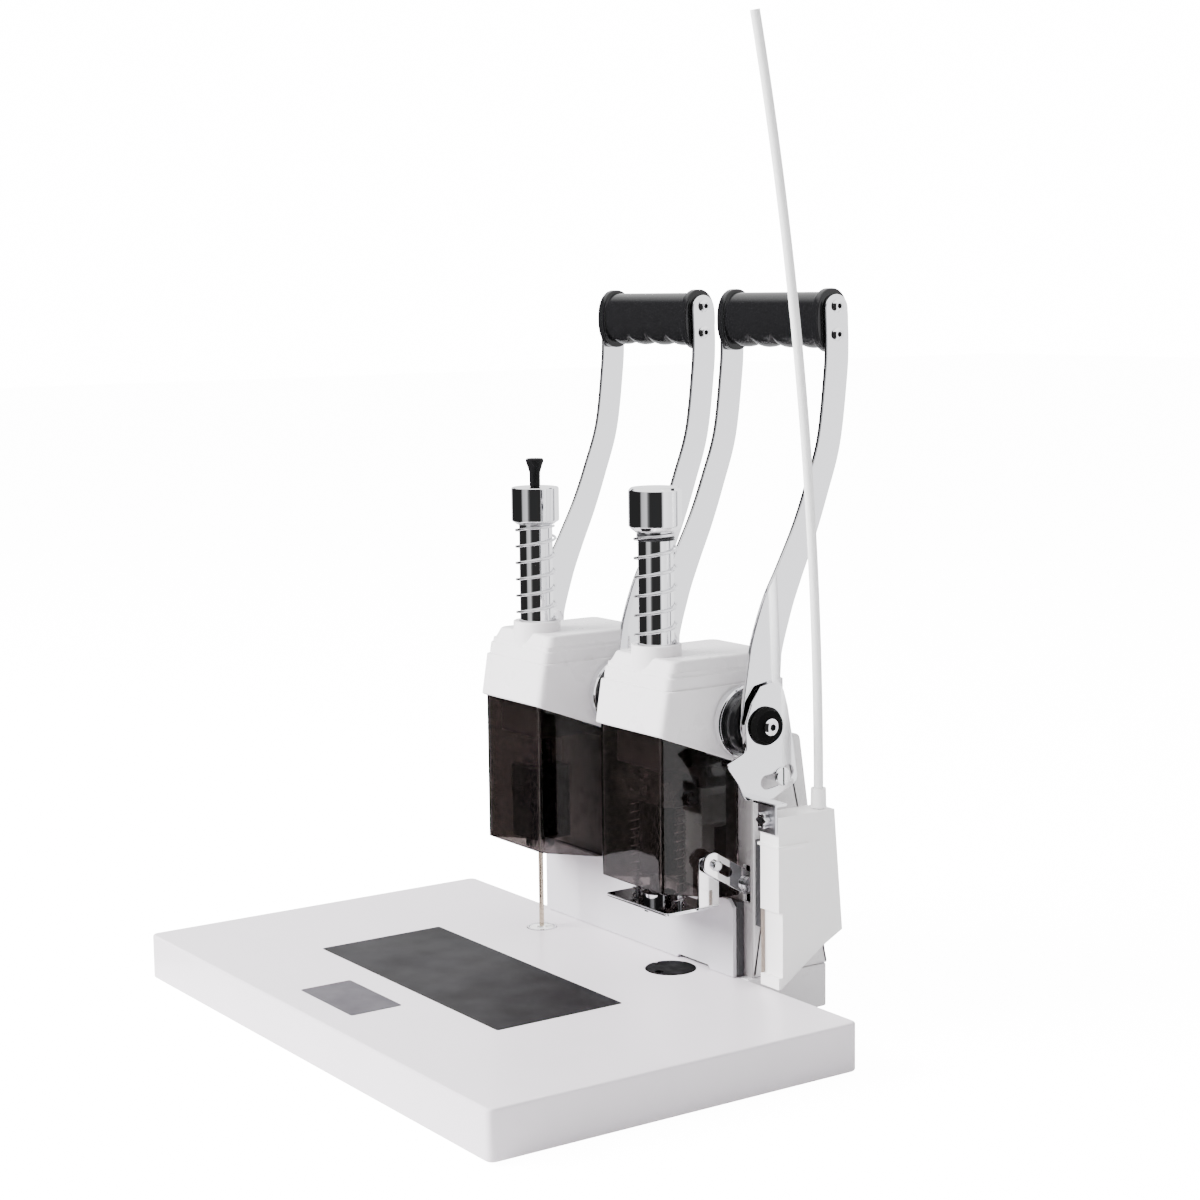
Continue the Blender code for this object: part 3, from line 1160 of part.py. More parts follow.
def grip(name, lever):
    """The black hand grip between the arms: flanged ends and four finger bumps underneath."""
    end = ARM_OFFSET - ARM_THICKNESS / 2 - GAP
    inner = end - GRIP_FLANGE
    centre = lever + Vector((0, GRIP_BACK, GRIP_RISE))
    bump_length = 2 * inner / GRIP_BUMPS
    stations = [(-end, 0, 0), (-inner, 0, 0)]
    steps = GRIP_BUMPS * GRIP_STEPS
    for k in range(steps + 1):
        x = -inner + GAP + (2 * inner - 2 * GAP) * k / steps
        wave = (1 - math.cos(2 * math.pi * (x + inner) / bump_length)) / 2
        stations.append((x, GRIP_WAIST, GRIP_BUMP * (1 - wave)))
    stations += [(inner, 0, 0), (end, 0, 0)]
    bm = bmesh.new()
    rings = []
    for x, waist, lift in stations:
        loop = []
        for k in range(GRIP_SIDES):
            turn = 2 * math.pi * k / GRIP_SIDES
            a = (GRIP_HALF_DEPTH - waist) * math.cos(turn)
            b = (GRIP_HALF_HEIGHT - waist) * math.sin(turn)
            if b < 0:
                b *= 1 - lift / GRIP_HALF_HEIGHT
            loop.append(bm.verts.new(centre + Vector((x, a, b))))
        rings.append(loop)
    bm.faces.new(rings[0])
    bm.faces.new(reversed(rings[-1]))
    for one, two in zip(rings, rings[1:]):
        for i in range(GRIP_SIDES):
            j = (i + 1) % GRIP_SIDES
            bm.faces.new((one[i], one[j], two[j], two[i]))
    add_object(name, bm, "black_plastic", lever, smooth=True)


def handle(prefix, lever, right_end):
    lever_shaft(prefix + "_lever_shaft", lever, right_end)
    hubs(prefix, lever)
    lever_arms(prefix, lever)
    grip(prefix + "_grip", lever)


def cutter_lever():
    """The bright plate on the press lever's axis: a flange along its front edge, an arc slot that
    a fixed post runs in, and a ledge with a tab that reaches into the cutter box."""
    pivot = PRESS_LEVER
    reach = LEVER_PLATE_REACH
    x = pivot.x + LEVER_PLATE_X
    sheet = SHEET
    outline = [(pivot.y + back * reach, pivot.z + rise * reach) for back, rise in LEVER_PLATE_SHARES]
    item = add_object("cutter_lever", prism(outline, "X", x, x + sheet), "chrome", pivot)
    low = pivot.z + reach * LEVER_LOW_SHARE
    front = BOX_FRONT_Y - RUN
    combine(item, block((x, front, low), (x + LEDGE_WIDTH + sheet, front + LEDGE_DEPTH, low + sheet)), "UNION")
    tab_right = x + LEDGE_WIDTH + sheet
    tab_low = (tab_right - TAB_WIDTH, front, low - TAB_DROP)
    combine(item, block(tab_low, (tab_right, front + sheet, low + sheet)), "UNION")
    edge = [(pivot.y + back * reach, pivot.z + rise * reach) for back, rise in LEVER_FLANGE_SHARES]
    strip = [edge[0], edge[1], (edge[1][0] + sheet, edge[1][1]), (edge[0][0] + sheet, edge[0][1])]
    combine(item, prism(strip, "X", x - LEVER_FLANGE, x + sheet / 2), "UNION")
    centre = (pivot.y, pivot.z)
    down = -math.pi / 2
    slot = arc(centre, SLOT_RADIUS - SLOT_HALF, down + SLOT_FROM, down + SLOT_TO, 8)
    slot += arc(centre, SLOT_RADIUS + SLOT_HALF, down + SLOT_TO, down + SLOT_FROM, 8)
    combine(item, prism(slot, "X", x - OVERRUN, x + OVERRUN))
    combine(item, rod(SHAFT_RADIUS + GAP, -OVERRUN, OVERRUN, Vector((x, pivot.y, pivot.z)), "X", SMALL_STEPS))


def cutter_bush():
    """The black bush that holds the cutter lever on the shaft."""
    low = LEVER_PLATE_X + SHEET + GAP
    bm = ring(SHAFT_RADIUS + GAP, BUSH_RADIUS, low, low + BUSH_WIDTH, PRESS_LEVER, "X")
    add_object("cutter_bush", bm, "black_plastic", PRESS_LEVER, smooth=True)


def cutter_post():
    """The shoulder screw on the cover's side that guides the cutter lever's slot."""
    place = PRESS_LEVER + Vector((0, SLOT_RADIUS * math.sin(POST_ANGLE), -SLOT_RADIUS * math.cos(POST_ANGLE)))
    start = PAIR_CENTRE_X + REAR_HALF_WIDTH + GAP - place.x
    plate = LEVER_PLATE_X + SHEET + GAP
    big = POST_RADIUS * 3 / 2
    profile = [(0, start), (POST_RADIUS, start), (POST_RADIUS, plate), (big, plate), (big, plate + PAN_HEAD_HEIGHT),
               (0, plate + PAN_HEAD_HEIGHT)]
    add_object("cutter_post", turned(profile, place, "X", SMALL_STEPS), "steel", smooth=True)


def inset_outline(outline, distance):
    """A closed outline moved inward by a wall thickness."""
    count = len(outline)
    area = sum(outline[i][0] * outline[(i + 1) % count][1] - outline[(i + 1) % count][0] * outline[i][1]
               for i in range(count))
    sign = 1 if area > 0 else -1
    lines = []
    for i in range(count):
        start = Vector(outline[i])
        along = (Vector(outline[(i + 1) % count]) - start).normalized()
        normal = Vector((-along.y, along.x)) * sign
        lines.append((start + normal * distance, along))
    points = []
    for i in range(count):
        (p, a), (q, b) = lines[i - 1], lines[i]
        share = ((q.x - p.x) * b.y - (q.y - p.y) * b.x) / (a.x * b.y - a.y * b.x)
        points.append((p.x + a.x * share, p.y + a.y * share))
    return points


def box_outline():
    """Side outline of the cutter box: upright front, leaning back, slanting bottom."""
    front = BOX_FRONT_Y
    z = WORKTOP_Z
    return [(front, z + GAP), (BOARD_BACK_Y, z + GAP), (front + BOX_KNEE_DEPTH, z + BOX_KNEE_RISE),
            (front + BOX_BACK_DEPTH, z + BOX_BACK_RISE), (front + BOX_TOP_DEPTH, BOX_TOP_Z), (front, BOX_TOP_Z)]


def tube_box():
    """The white box round the tube: a window at the front, a notch for the cutter's tab."""
    wall = BOX_WALL
    item = add_object("tube_box", prism(box_outline(), "X", BOX_LEFT_X, BOX_RIGHT_X), "white_plastic")
    combine(item, prism(inset_outline(box_outline(), wall), "X", BOX_LEFT_X + wall, BOX_RIGHT_X - wall))
    back = BOX_FRONT_Y + BOX_NOTCH_DEPTH
    floor = BOX_TOP_Z - BOX_NOTCH_HEIGHT
    shelf_low = (BOX_LEFT_X + wall / 2, BOX_FRONT_Y + wall / 2, floor - wall)
    combine(item, block(shelf_low, (BOX_RIGHT_X - wall / 2, back, floor)), "UNION")
    notch_low = (BOX_LEFT_X - OVERRUN, BOX_FRONT_Y - OVERRUN, floor)
    combine(item, block(notch_low, (BOX_RIGHT_X - wall, back, BOX_TOP_Z + OVERRUN)))
    window_low = (BOX_LEFT_X + wall, BOX_FRONT_Y - OVERRUN, WORKTOP_Z + WINDOW_LOW_RISE)
    window_high = (BOX_RIGHT_X - wall, BOX_FRONT_Y + OVERRUN, WORKTOP_Z + WINDOW_HIGH_RISE)
    combine(item, block(window_low, window_high))
    place = Vector((TUBE_X, TUBE_Y, BOX_TOP_Z))
    combine(item, rod(SLEEVE_RADIUS, -wall / 2, SLEEVE_HEIGHT, place, steps=SMALL_STEPS), "UNION")
    combine(item, rod(TUBE_RADIUS + RUN, -OVERRUN, SLEEVE_HEIGHT + OVERRUN, place, steps=SMALL_STEPS))


def tube_chute():
    """The sloping plate that leads cut rivets down to the window."""
    wall = BOX_WALL + GAP
    inner = inset_outline(box_outline(), wall)
    start = inner[1]
    end = inner[2]
    top = [(end[0], end[1] + CHUTE_THICKNESS), (start[0], start[1] + CHUTE_THICKNESS)]
    bm = prism([start, end] + top, "X", BOX_LEFT_X + wall, BOX_RIGHT_X - wall)
    add_object("tube_chute", bm, "nylon")


def guide_block():
    """The steel block under the box's top that the tube passes through and the blade slides in."""
    top = BOX_TOP_Z - BOX_WALL - GAP
    low = (TUBE_X - GUIDE_BLOCK_HALF_WIDTH, TUBE_Y - GUIDE_BLOCK_FRONT, top - GUIDE_BLOCK_HEIGHT)
    high = (TUBE_X + GUIDE_BLOCK_HALF_WIDTH, TUBE_Y + GUIDE_BLOCK_BACK, top)
    item = add_object("guide_block", block(low, high), "steel")
    place = Vector((TUBE_X, TUBE_Y, top - GUIDE_BLOCK_HEIGHT))
    combine(item, rod(TUBE_RADIUS + RUN, -OVERRUN, GUIDE_BLOCK_HEIGHT + OVERRUN, place, steps=SMALL_STEPS))
    middle = blade_z()
    half = BLADE_HALF_WIDTH + RUN
    depth = BLADE_THICKNESS / 2 + RUN
    combine(item, block((TUBE_X - half, low[1] - OVERRUN, middle - depth), (TUBE_X + half, TUBE_Y, middle + depth)))


def blade_z():
    return BOX_TOP_Z - BOX_WALL - GAP - GUIDE_BLOCK_HEIGHT / 2


def cutter_blade():
    """The blade that slides back to cut a rivet off the tube, with a flange the tab pushes on."""
    front = BOX_FRONT_Y - RUN + SHEET + RUN
    back = TUBE_Y - TUBE_RADIUS - BLADE_REST
    z = blade_z()
    depth = BLADE_THICKNESS / 2
    anchor = Vector((TUBE_X, back, z))
    half = BLADE_HALF_WIDTH
    item = add_object("cutter_blade", block((TUBE_X - half, front, z - depth), (TUBE_X + half, back, z + depth)),
                      "steel", anchor)
    flange_low = (TUBE_X - half, front, z - BLADE_FLANGE / 2)
    combine(item, block(flange_low, (TUBE_X + half, front + BLADE_THICKNESS, z + BLADE_FLANGE / 2)), "UNION")


def tube_bottom():
    """The tube's lower end, just above the chute."""
    inner = inset_outline(box_outline(), BOX_WALL + GAP)
    (y0, z0), (y1, z1) = inner[1], inner[2]
    slope = (z1 - z0) / (y1 - y0)
    rest = z1 + slope * max(0, TUBE_Y + TUBE_RADIUS - y1)
    return rest + CHUTE_THICKNESS + TUBE_RADIUS


def rivet_tube():
    """The hollow rivet stock: straight in the box, then bending forward in a long curve."""
    low = tube_bottom()
    straight_top = BOX_TOP_Z + SLEEVE_HEIGHT
    curved = TUBE_LENGTH - (straight_top - low)
    anchor = Vector((TUBE_X, TUBE_Y, low))
    points = [anchor, Vector((TUBE_X, TUBE_Y, straight_top))]
    for k in range(1, TUBE_POINTS + 1):
        turn = curved * k / TUBE_POINTS / TUBE_BEND_RADIUS
        y = TUBE_Y - TUBE_BEND_RADIUS * (1 - math.cos(turn))
        points.append(Vector((TUBE_X, y, straight_top + TUBE_BEND_RADIUS * math.sin(turn))))
    add_object("rivet_tube", tube_mesh(points, TUBE_RADIUS, TUBE_BORE), "nylon", anchor, smooth=True)


def tube_mesh(points, outer, inner):
    """A tube with a bore along a path that stays in one plane across X."""
    bm = bmesh.new()
    rings = []
    for i, point in enumerate(points):
        along = (points[min(len(points) - 1, i + 1)] - points[max(0, i - 1)]).normalized()
        side = Vector((1, 0, 0))
        up = along.cross(side)
        pair = []
        for radius in (outer, inner):
            turns = [2 * math.pi * k / SMALL_STEPS for k in range(SMALL_STEPS)]
            pair.append([bm.verts.new(point + radius * (side * math.cos(t) + up * math.sin(t))) for t in turns])
        rings.append(pair)
    for one, two in zip(rings, rings[1:]):
        for loop in (0, 1):
            for k in range(SMALL_STEPS):
                n = (k + 1) % SMALL_STEPS
                bm.faces.new((one[loop][k], one[loop][n], two[loop][n], two[loop][k]))
    for pair in (rings[0], rings[-1]):
        for k in range(SMALL_STEPS):
            n = (k + 1) % SMALL_STEPS
            bm.faces.new((pair[0][k], pair[0][n], pair[1][n], pair[1][k]))
    return bm


def box_bracket():
    """The steel bracket between the column cover and the cutter box."""
    low = (PAIR_CENTRE_X + REAR_HALF_WIDTH + GAP, BOX_FRONT_Y + BRACKET_FRONT, WORKTOP_Z + BRACKET_LOW_RISE)
    high = (BOX_LEFT_X - GAP, BOX_FRONT_Y + BRACKET_FRONT + BRACKET_DEPTH, WORKTOP_Z + BRACKET_HIGH_RISE)
    add_object("box_bracket", block(low, high), "dark_steel")


def build():
    clear_scene()
    base_board()
    rubber_feet()
    rear_base()
    drill_pad()
    anvil_disc()
    back_plate()
    plate_support()
    column_frame()
    control_board()
    rear_cover()
    power_inlet()
    power_rocker()
    for prefix, axis in (("drill", DRILL_AXIS), ("press", PRESS_AXIS)):
        head_cover(prefix + "_head_cover", axis)
        head_frame(prefix + "_head_frame", axis)
        guard(prefix + "_guard", axis)
    column("drill_column", DRILL_AXIS, MOTOR_TOP_RISE + GAP, DRILL_CAP_RISE, DRILL_RACK_ABOVE)
    bottom = CROSSHEAD_BOTTOM_RISE + CROSSHEAD_HEIGHT + GAP
    column("press_column", PRESS_AXIS, bottom, PRESS_CAP_RISE, PRESS_RACK_ABOVE)
    cap("drill_cap", DRILL_AXIS, DRILL_CAP_RISE, DRILL_CAP_HEIGHT, ROD_STEM_RADIUS + RUN)
    cap("press_cap", PRESS_AXIS, PRESS_CAP_RISE, PRESS_CAP_HEIGHT, None)
    return_spring("drill_return_spring", DRILL_AXIS, DRILL_CAP_RISE)
    return_spring("press_return_spring", PRESS_AXIS, PRESS_CAP_RISE)
    drill_motor()
    drill_chuck()
    drill_bit()
    clearing_rod()
    press_crosshead()
    press_heater()
    presser_foot()
    foot_springs()
    slotted_link()
    link_stud()
    cutter_post()
    handle("drill", DRILL_LEVER, ARM_OFFSET + ARM_THICKNESS / 2)
    handle("press", PRESS_LEVER, LEVER_PLATE_X + SHEET + BUSH_WIDTH + GAP)
    cutter_lever()
    cutter_bush()
    tube_box()
    tube_chute()
    guide_block()
    cutter_blade()
    rivet_tube()
    box_bracket()


build()
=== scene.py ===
"""Rivet binding machine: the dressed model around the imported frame, in metres, +Z up, -Y front."""

import json
import math
import bpy
import numpy as np
from mathutils import Matrix, Vector


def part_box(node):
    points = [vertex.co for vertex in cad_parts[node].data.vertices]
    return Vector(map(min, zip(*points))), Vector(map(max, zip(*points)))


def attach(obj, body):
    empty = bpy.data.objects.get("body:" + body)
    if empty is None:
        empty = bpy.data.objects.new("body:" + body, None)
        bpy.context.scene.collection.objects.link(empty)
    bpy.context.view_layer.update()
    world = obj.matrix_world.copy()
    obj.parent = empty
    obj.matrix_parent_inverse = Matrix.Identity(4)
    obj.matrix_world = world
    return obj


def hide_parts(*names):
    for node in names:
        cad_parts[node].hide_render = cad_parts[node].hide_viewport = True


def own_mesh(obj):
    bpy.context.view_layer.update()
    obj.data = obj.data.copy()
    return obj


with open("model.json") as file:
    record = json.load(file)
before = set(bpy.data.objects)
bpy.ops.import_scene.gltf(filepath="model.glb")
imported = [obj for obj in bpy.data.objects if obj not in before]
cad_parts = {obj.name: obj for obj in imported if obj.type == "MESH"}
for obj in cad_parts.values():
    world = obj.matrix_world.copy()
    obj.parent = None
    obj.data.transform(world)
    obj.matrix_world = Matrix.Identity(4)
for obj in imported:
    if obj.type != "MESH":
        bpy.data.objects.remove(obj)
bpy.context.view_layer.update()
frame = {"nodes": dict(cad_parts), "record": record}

# Camera, floor and light
# The camera stands in front and to the right of the machine, a little above the grips. The angles
# are in radians. A white tent and two soft lamps stand round a pale sweep.
CAMERA_AT = (1.0951, -0.70025, 0.4043)
CAMERA_TURN = 0.97048
CAMERA_DOWN = 0.13064
CAMERA_ROLL = -0.01223
CAMERA_LENS = 71.36
CAMERA_SENSOR = 36
PALE = (0.93, 0.93, 0.935, 1)
WORLD_DIFFUSE = 0.5
WORLD_CLEAR = 2.6
WORLD_BRIGHT = 2.3
WORLD_SEEN = 16.0
FLOOR_GLOW = 14.0
FLOOR_SIZE = 9.0
FLOOR_DROP = 0.0002
MIRROR_REACH = 0.27
TENT_SKY = (0.45, 0.6)


def add_camera():
    turn, down, roll = CAMERA_TURN, CAMERA_DOWN, CAMERA_ROLL
    ahead = Vector((-math.sin(turn) * math.cos(down), math.cos(turn) * math.cos(down), -math.sin(down)))
    right = Vector((math.cos(turn), math.sin(turn), 0))
    up = right.cross(ahead)
    side = right * math.cos(roll) + up * math.sin(roll)
    top = up * math.cos(roll) - right * math.sin(roll)
    camera = bpy.data.objects.new("camera", bpy.data.cameras.new("camera"))
    camera.data.lens = CAMERA_LENS
    camera.data.sensor_width = CAMERA_SENSOR
    camera.data.clip_start = 0.01
    camera.matrix_world = Matrix((
        (side.x, top.x, -ahead.x, CAMERA_AT[0]), (side.y, top.y, -ahead.y, CAMERA_AT[1]),
        (side.z, top.z, -ahead.z, CAMERA_AT[2]), (0, 0, 0, 1)))
    bpy.context.scene.collection.objects.link(camera)
    bpy.context.scene.camera = camera


def add_light(name, place, aim, size, power, colour=(1, 1, 1)):
    lamp = bpy.data.lights.new(name, "AREA")
    lamp.shape = "RECTANGLE"
    lamp.size, lamp.size_y = size
    lamp.energy = power
    lamp.color = colour
    item = bpy.data.objects.new(name, lamp)
    item.location = place
    item.rotation_euler = (Vector(aim) - Vector(place)).to_track_quat("-Z", "Y").to_euler()
    item.visible_glossy = False
    bpy.context.scene.collection.objects.link(item)


def add_world():
    """A white studio tent. Bright metal sees black and white zones round the camera's direction in
    it, which band the plated parts; plain surfaces see an even grey, and the camera sees white."""
    world = bpy.data.worlds.new("studio")
    bpy.context.scene.world = world
    world.use_nodes = True
    tree = world.node_tree
    nodes, links = tree.nodes, tree.links
    place = nodes.new("ShaderNodeTexCoord")
    split = nodes.new("ShaderNodeSeparateXYZ")
    links.new(place.outputs["Generated"], split.inputs[0])
    parts = []
    for direction in ((0.565, 0.825, 0), (0.84, -0.54, 0)):
        dot = nodes.new("ShaderNodeVectorMath")
        dot.operation = "DOT_PRODUCT"
        dot.inputs[1].default_value = direction
        links.new(place.outputs["Generated"], dot.inputs[0])
        parts.append(dot.outputs["Value"])
    turn = nodes.new("ShaderNodeMath")
    turn.operation = "ARCTAN2"
    links.new(parts[0], turn.inputs[0])
    links.new(parts[1], turn.inputs[1])
    spread = nodes.new("ShaderNodeMapRange")
    spread.inputs["From Min"].default_value = -math.pi
    spread.inputs["From Max"].default_value = math.pi
    links.new(turn.outputs["Value"], spread.inputs["Value"])
    ramp = nodes.new("ShaderNodeValToRGB")
    zones = ((-180, 0.9), (-152, 0.9), (-146, 0.012), (-70, 0.012), (-62, 0.30), (-40, 0.42), (-34, 0.10),
             (-24, 0.015), (26, 0.015), (36, 1.0), (62, 0.85), (94, 0.95), (98, 0.10), (104, 0.10),
             (108, 1.0), (180, 0.9))
    elements = ramp.color_ramp.elements
    while len(elements) < len(zones):
        elements.new(0.5)
    for element, (angle, value) in zip(elements, zones):
        element.position = (angle + 180) / 360
    for element, (angle, value) in zip(elements, zones):
        element.color = (value, value, value * 1.02, 1)
    links.new(spread.outputs["Result"], ramp.inputs["Fac"])
    height = nodes.new("ShaderNodeMapRange")
    height.inputs["From Min"].default_value, height.inputs["From Max"].default_value = TENT_SKY
    links.new(split.outputs["Z"], height.inputs["Value"])
    lift = nodes.new("ShaderNodeMix")
    lift.data_type = "RGBA"
    lift.inputs[7].default_value = (1, 1, 1, 1)
    links.new(height.outputs["Result"], lift.inputs[0])
    links.new(ramp.outputs["Color"], lift.inputs[6])
    seen = nodes.new("ShaderNodeLightPath")
    colour, strength = lift.outputs[2], None
    for ray, shade, power in (("Is Diffuse Ray", 1.0, WORLD_DIFFUSE),
                              ("Is Transmission Ray", 1.0, WORLD_CLEAR),
                              ("Is Camera Ray", 1.0, WORLD_SEEN)):
        pick = nodes.new("ShaderNodeMix")
        pick.data_type = "RGBA"
        pick.inputs[7].default_value = (shade, shade, shade, 1)
        links.new(seen.outputs[ray], pick.inputs[0])
        links.new(colour, pick.inputs[6])
        level = nodes.new("ShaderNodeMix")
        level.inputs[2].default_value = WORLD_BRIGHT
        level.inputs[3].default_value = power
        links.new(seen.outputs[ray], level.inputs[0])
        if strength:
            links.new(strength, level.inputs[2])
        colour, strength = pick.outputs[2], level.outputs[0]
    links.new(colour, nodes["Background"].inputs["Color"])
    links.new(strength, nodes["Background"].inputs["Strength"])


def add_floor():
    """A pale sweep. It glows for the camera, so that only soft contact shadows show, and bright metal
    looks through it away from the machine, into the tent's bands."""
    size = FLOOR_SIZE
    mesh = bpy.data.meshes.new("floor")
    corners = [(-size, -size, 0), (size, -size, 0), (size, size, 0), (-size, size, 0)]
    mesh.from_pydata([(x, y, -FLOOR_DROP) for x, y, z in corners], [], [(0, 1, 2, 3)])
    floor = bpy.data.objects.new("floor", mesh)
    bpy.context.scene.collection.objects.link(floor)
    made = bpy.data.materials.new("floor")
    made.use_nodes = True
    tree = made.node_tree
    nodes, links = tree.nodes, tree.links
    shader = nodes["Principled BSDF"]
    shader.inputs["Base Color"].default_value = PALE
    shader.inputs["Roughness"].default_value = 0.8
    shader.inputs["Specular IOR Level"].default_value = 0.1
    shader.inputs["Emission Color"].default_value = (1, 1, 1, 1)
    seen = nodes.new("ShaderNodeLightPath")
    glow = nodes.new("ShaderNodeMath")
    glow.operation = "MULTIPLY"
    glow.inputs[1].default_value = FLOOR_GLOW
    links.new(seen.outputs["Is Camera Ray"], glow.inputs[0])
    links.new(glow.outputs["Value"], shader.inputs["Emission Strength"])
    place = nodes.new("ShaderNodeTexCoord")
    reach = nodes.new("ShaderNodeVectorMath")
    reach.operation = "LENGTH"
    links.new(place.outputs["Object"], reach.inputs[0])
    far = nodes.new("ShaderNodeMath")
    far.operation = "GREATER_THAN"
    far.inputs[1].default_value = MIRROR_REACH
    links.new(reach.outputs["Value"], far.inputs[0])
    both = nodes.new("ShaderNodeMath")
    both.operation = "MULTIPLY"
    links.new(far.outputs["Value"], both.inputs[0])
    links.new(seen.outputs["Is Glossy Ray"], both.inputs[1])
    clear = nodes.new("ShaderNodeBsdfTransparent")
    mix = nodes.new("ShaderNodeMixShader")
    links.new(both.outputs["Value"], mix.inputs["Fac"])
    links.new(shader.outputs["BSDF"], mix.inputs[1])
    links.new(clear.outputs["BSDF"], mix.inputs[2])
    links.new(mix.outputs["Shader"], nodes["Material Output"].inputs["Surface"])
    mesh.materials.append(made)


add_camera()
add_world()
add_floor()
add_light("key", (-0.9, -1.9, 1.35), (0, 0, 0.15), (1.6, 1.2), 235)
add_light("top", (0.1, 0.3, 1.9), (0, 0, 0.1), (1.4, 1.4), 20)

# Finishes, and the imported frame's own nodes
# Laminate, sprayed paint, moulded plastic, chrome, steel and rubber. Every finish is procedural in
# Object coordinates, in metres, and each node of the frame wears the one of its material slot.


def group(name, inputs, outputs):
    """A node group with named inputs and outputs; returns the tree and its two end nodes."""
    tree = bpy.data.node_groups.new(name, "ShaderNodeTree")
    for label, kind, value in inputs:
        socket = tree.interface.new_socket(label, in_out="INPUT", socket_type=kind)
        socket.default_value = value
    for label, kind in outputs:
        tree.interface.new_socket(label, in_out="OUTPUT", socket_type=kind)
    return tree, tree.nodes.new("NodeGroupInput"), tree.nodes.new("NodeGroupOutput")


def uneven_group():
    """Slow patches: noise at a scale, spread between a low and a high value."""
    tree, start, end = group("Uneven", (("Scale", "NodeSocketFloat", 60.0), ("Low", "NodeSocketFloat", 0.0),
                                        ("High", "NodeSocketFloat", 1.0)), (("Value", "NodeSocketFloat"),))
    place = tree.nodes.new("ShaderNodeTexCoord")
    noise = tree.nodes.new("ShaderNodeTexNoise")
    noise.inputs["Detail"].default_value = 4
    spread = tree.nodes.new("ShaderNodeMapRange")
    spread.inputs["From Min"].default_value = 0.3
    spread.inputs["From Max"].default_value = 0.7
    tree.links.new(place.outputs["Object"], noise.inputs["Vector"])
    tree.links.new(start.outputs["Scale"], noise.inputs["Scale"])
    tree.links.new(noise.outputs["Fac"], spread.inputs["Value"])
    tree.links.new(start.outputs["Low"], spread.inputs["To Min"])
    tree.links.new(start.outputs["High"], spread.inputs["To Max"])
    tree.links.new(spread.outputs["Result"], end.inputs["Value"])
    return tree


def grain_group():
    """Fine relief: noise stretched by a vector, turned into a bumped normal."""
    tree, start, end = group("Grain", (("Scale", "NodeSocketFloat", 900.0),
                                       ("Stretch", "NodeSocketVector", (1, 1, 1)),
                                       ("Height", "NodeSocketFloat", 0.00002),
                                       ("Strength", "NodeSocketFloat", 0.3)),
                             (("Normal", "NodeSocketVector"), ("Value", "NodeSocketFloat")))
    place = tree.nodes.new("ShaderNodeTexCoord")
    stretch = tree.nodes.new("ShaderNodeVectorMath")
    stretch.operation = "MULTIPLY"
    noise = tree.nodes.new("ShaderNodeTexNoise")
    noise.inputs["Detail"].default_value = 2
    bump = tree.nodes.new("ShaderNodeBump")
    tree.links.new(place.outputs["Object"], stretch.inputs[0])
    tree.links.new(start.outputs["Stretch"], stretch.inputs[1])
    tree.links.new(stretch.outputs["Vector"], noise.inputs["Vector"])
    tree.links.new(start.outputs["Scale"], noise.inputs["Scale"])
    tree.links.new(noise.outputs["Fac"], bump.inputs["Height"])
    tree.links.new(start.outputs["Height"], bump.inputs["Distance"])
    tree.links.new(start.outputs["Strength"], bump.inputs["Strength"])
    tree.links.new(bump.outputs["Normal"], end.inputs["Normal"])
    tree.links.new(noise.outputs["Fac"], end.inputs["Value"])
    return tree


UNEVEN = uneven_group()
GRAIN = grain_group()


class Finish:
    """One material: a Principled shader whose inputs can be fed by the shared groups."""

    def __init__(self, name, colour, roughness, metallic=0.0):
        self.made = bpy.data.materials.new(name)
        self.made.use_nodes = True
        self.tree = self.made.node_tree
        self.shader = self.tree.nodes["Principled BSDF"]
        self.set("Base Color", (*colour, 1))
        self.set("Roughness", roughness)
        self.set("Metallic", metallic)

    def set(self, label, value):
        self.shader.inputs[label].default_value = value
        return self

    def use(self, tree, **values):
        node = self.tree.nodes.new("ShaderNodeGroup")
        node.node_tree = tree
        for label, value in values.items():
            node.inputs[label].default_value = value
        return node

    def link(self, output, label):
        self.tree.links.new(output, self.shader.inputs[label])
        return self

    def rough(self, scale, low, high):
        return self.link(self.use(UNEVEN, Scale=scale, Low=low, High=high).outputs["Value"], "Roughness")

    def relief(self, scale, height, strength=0.3, stretch=(1, 1, 1)):
        node = self.use(GRAIN, Scale=scale, Stretch=stretch, Height=height, Strength=strength)
        return self.link(node.outputs["Normal"], "Normal")

    def tint(self, scale, dark, light):
        """Colour drifting between two tones in slow patches."""
        node = self.use(UNEVEN, Scale=scale)
        mix = self.tree.nodes.new("ShaderNodeMix")
        mix.data_type = "RGBA"
        mix.inputs[6].default_value = (*dark, 1)
        mix.inputs[7].default_value = (*light, 1)
        self.tree.links.new(node.outputs["Value"], mix.inputs[0])
        return self.link(mix.outputs[2], "Base Color")


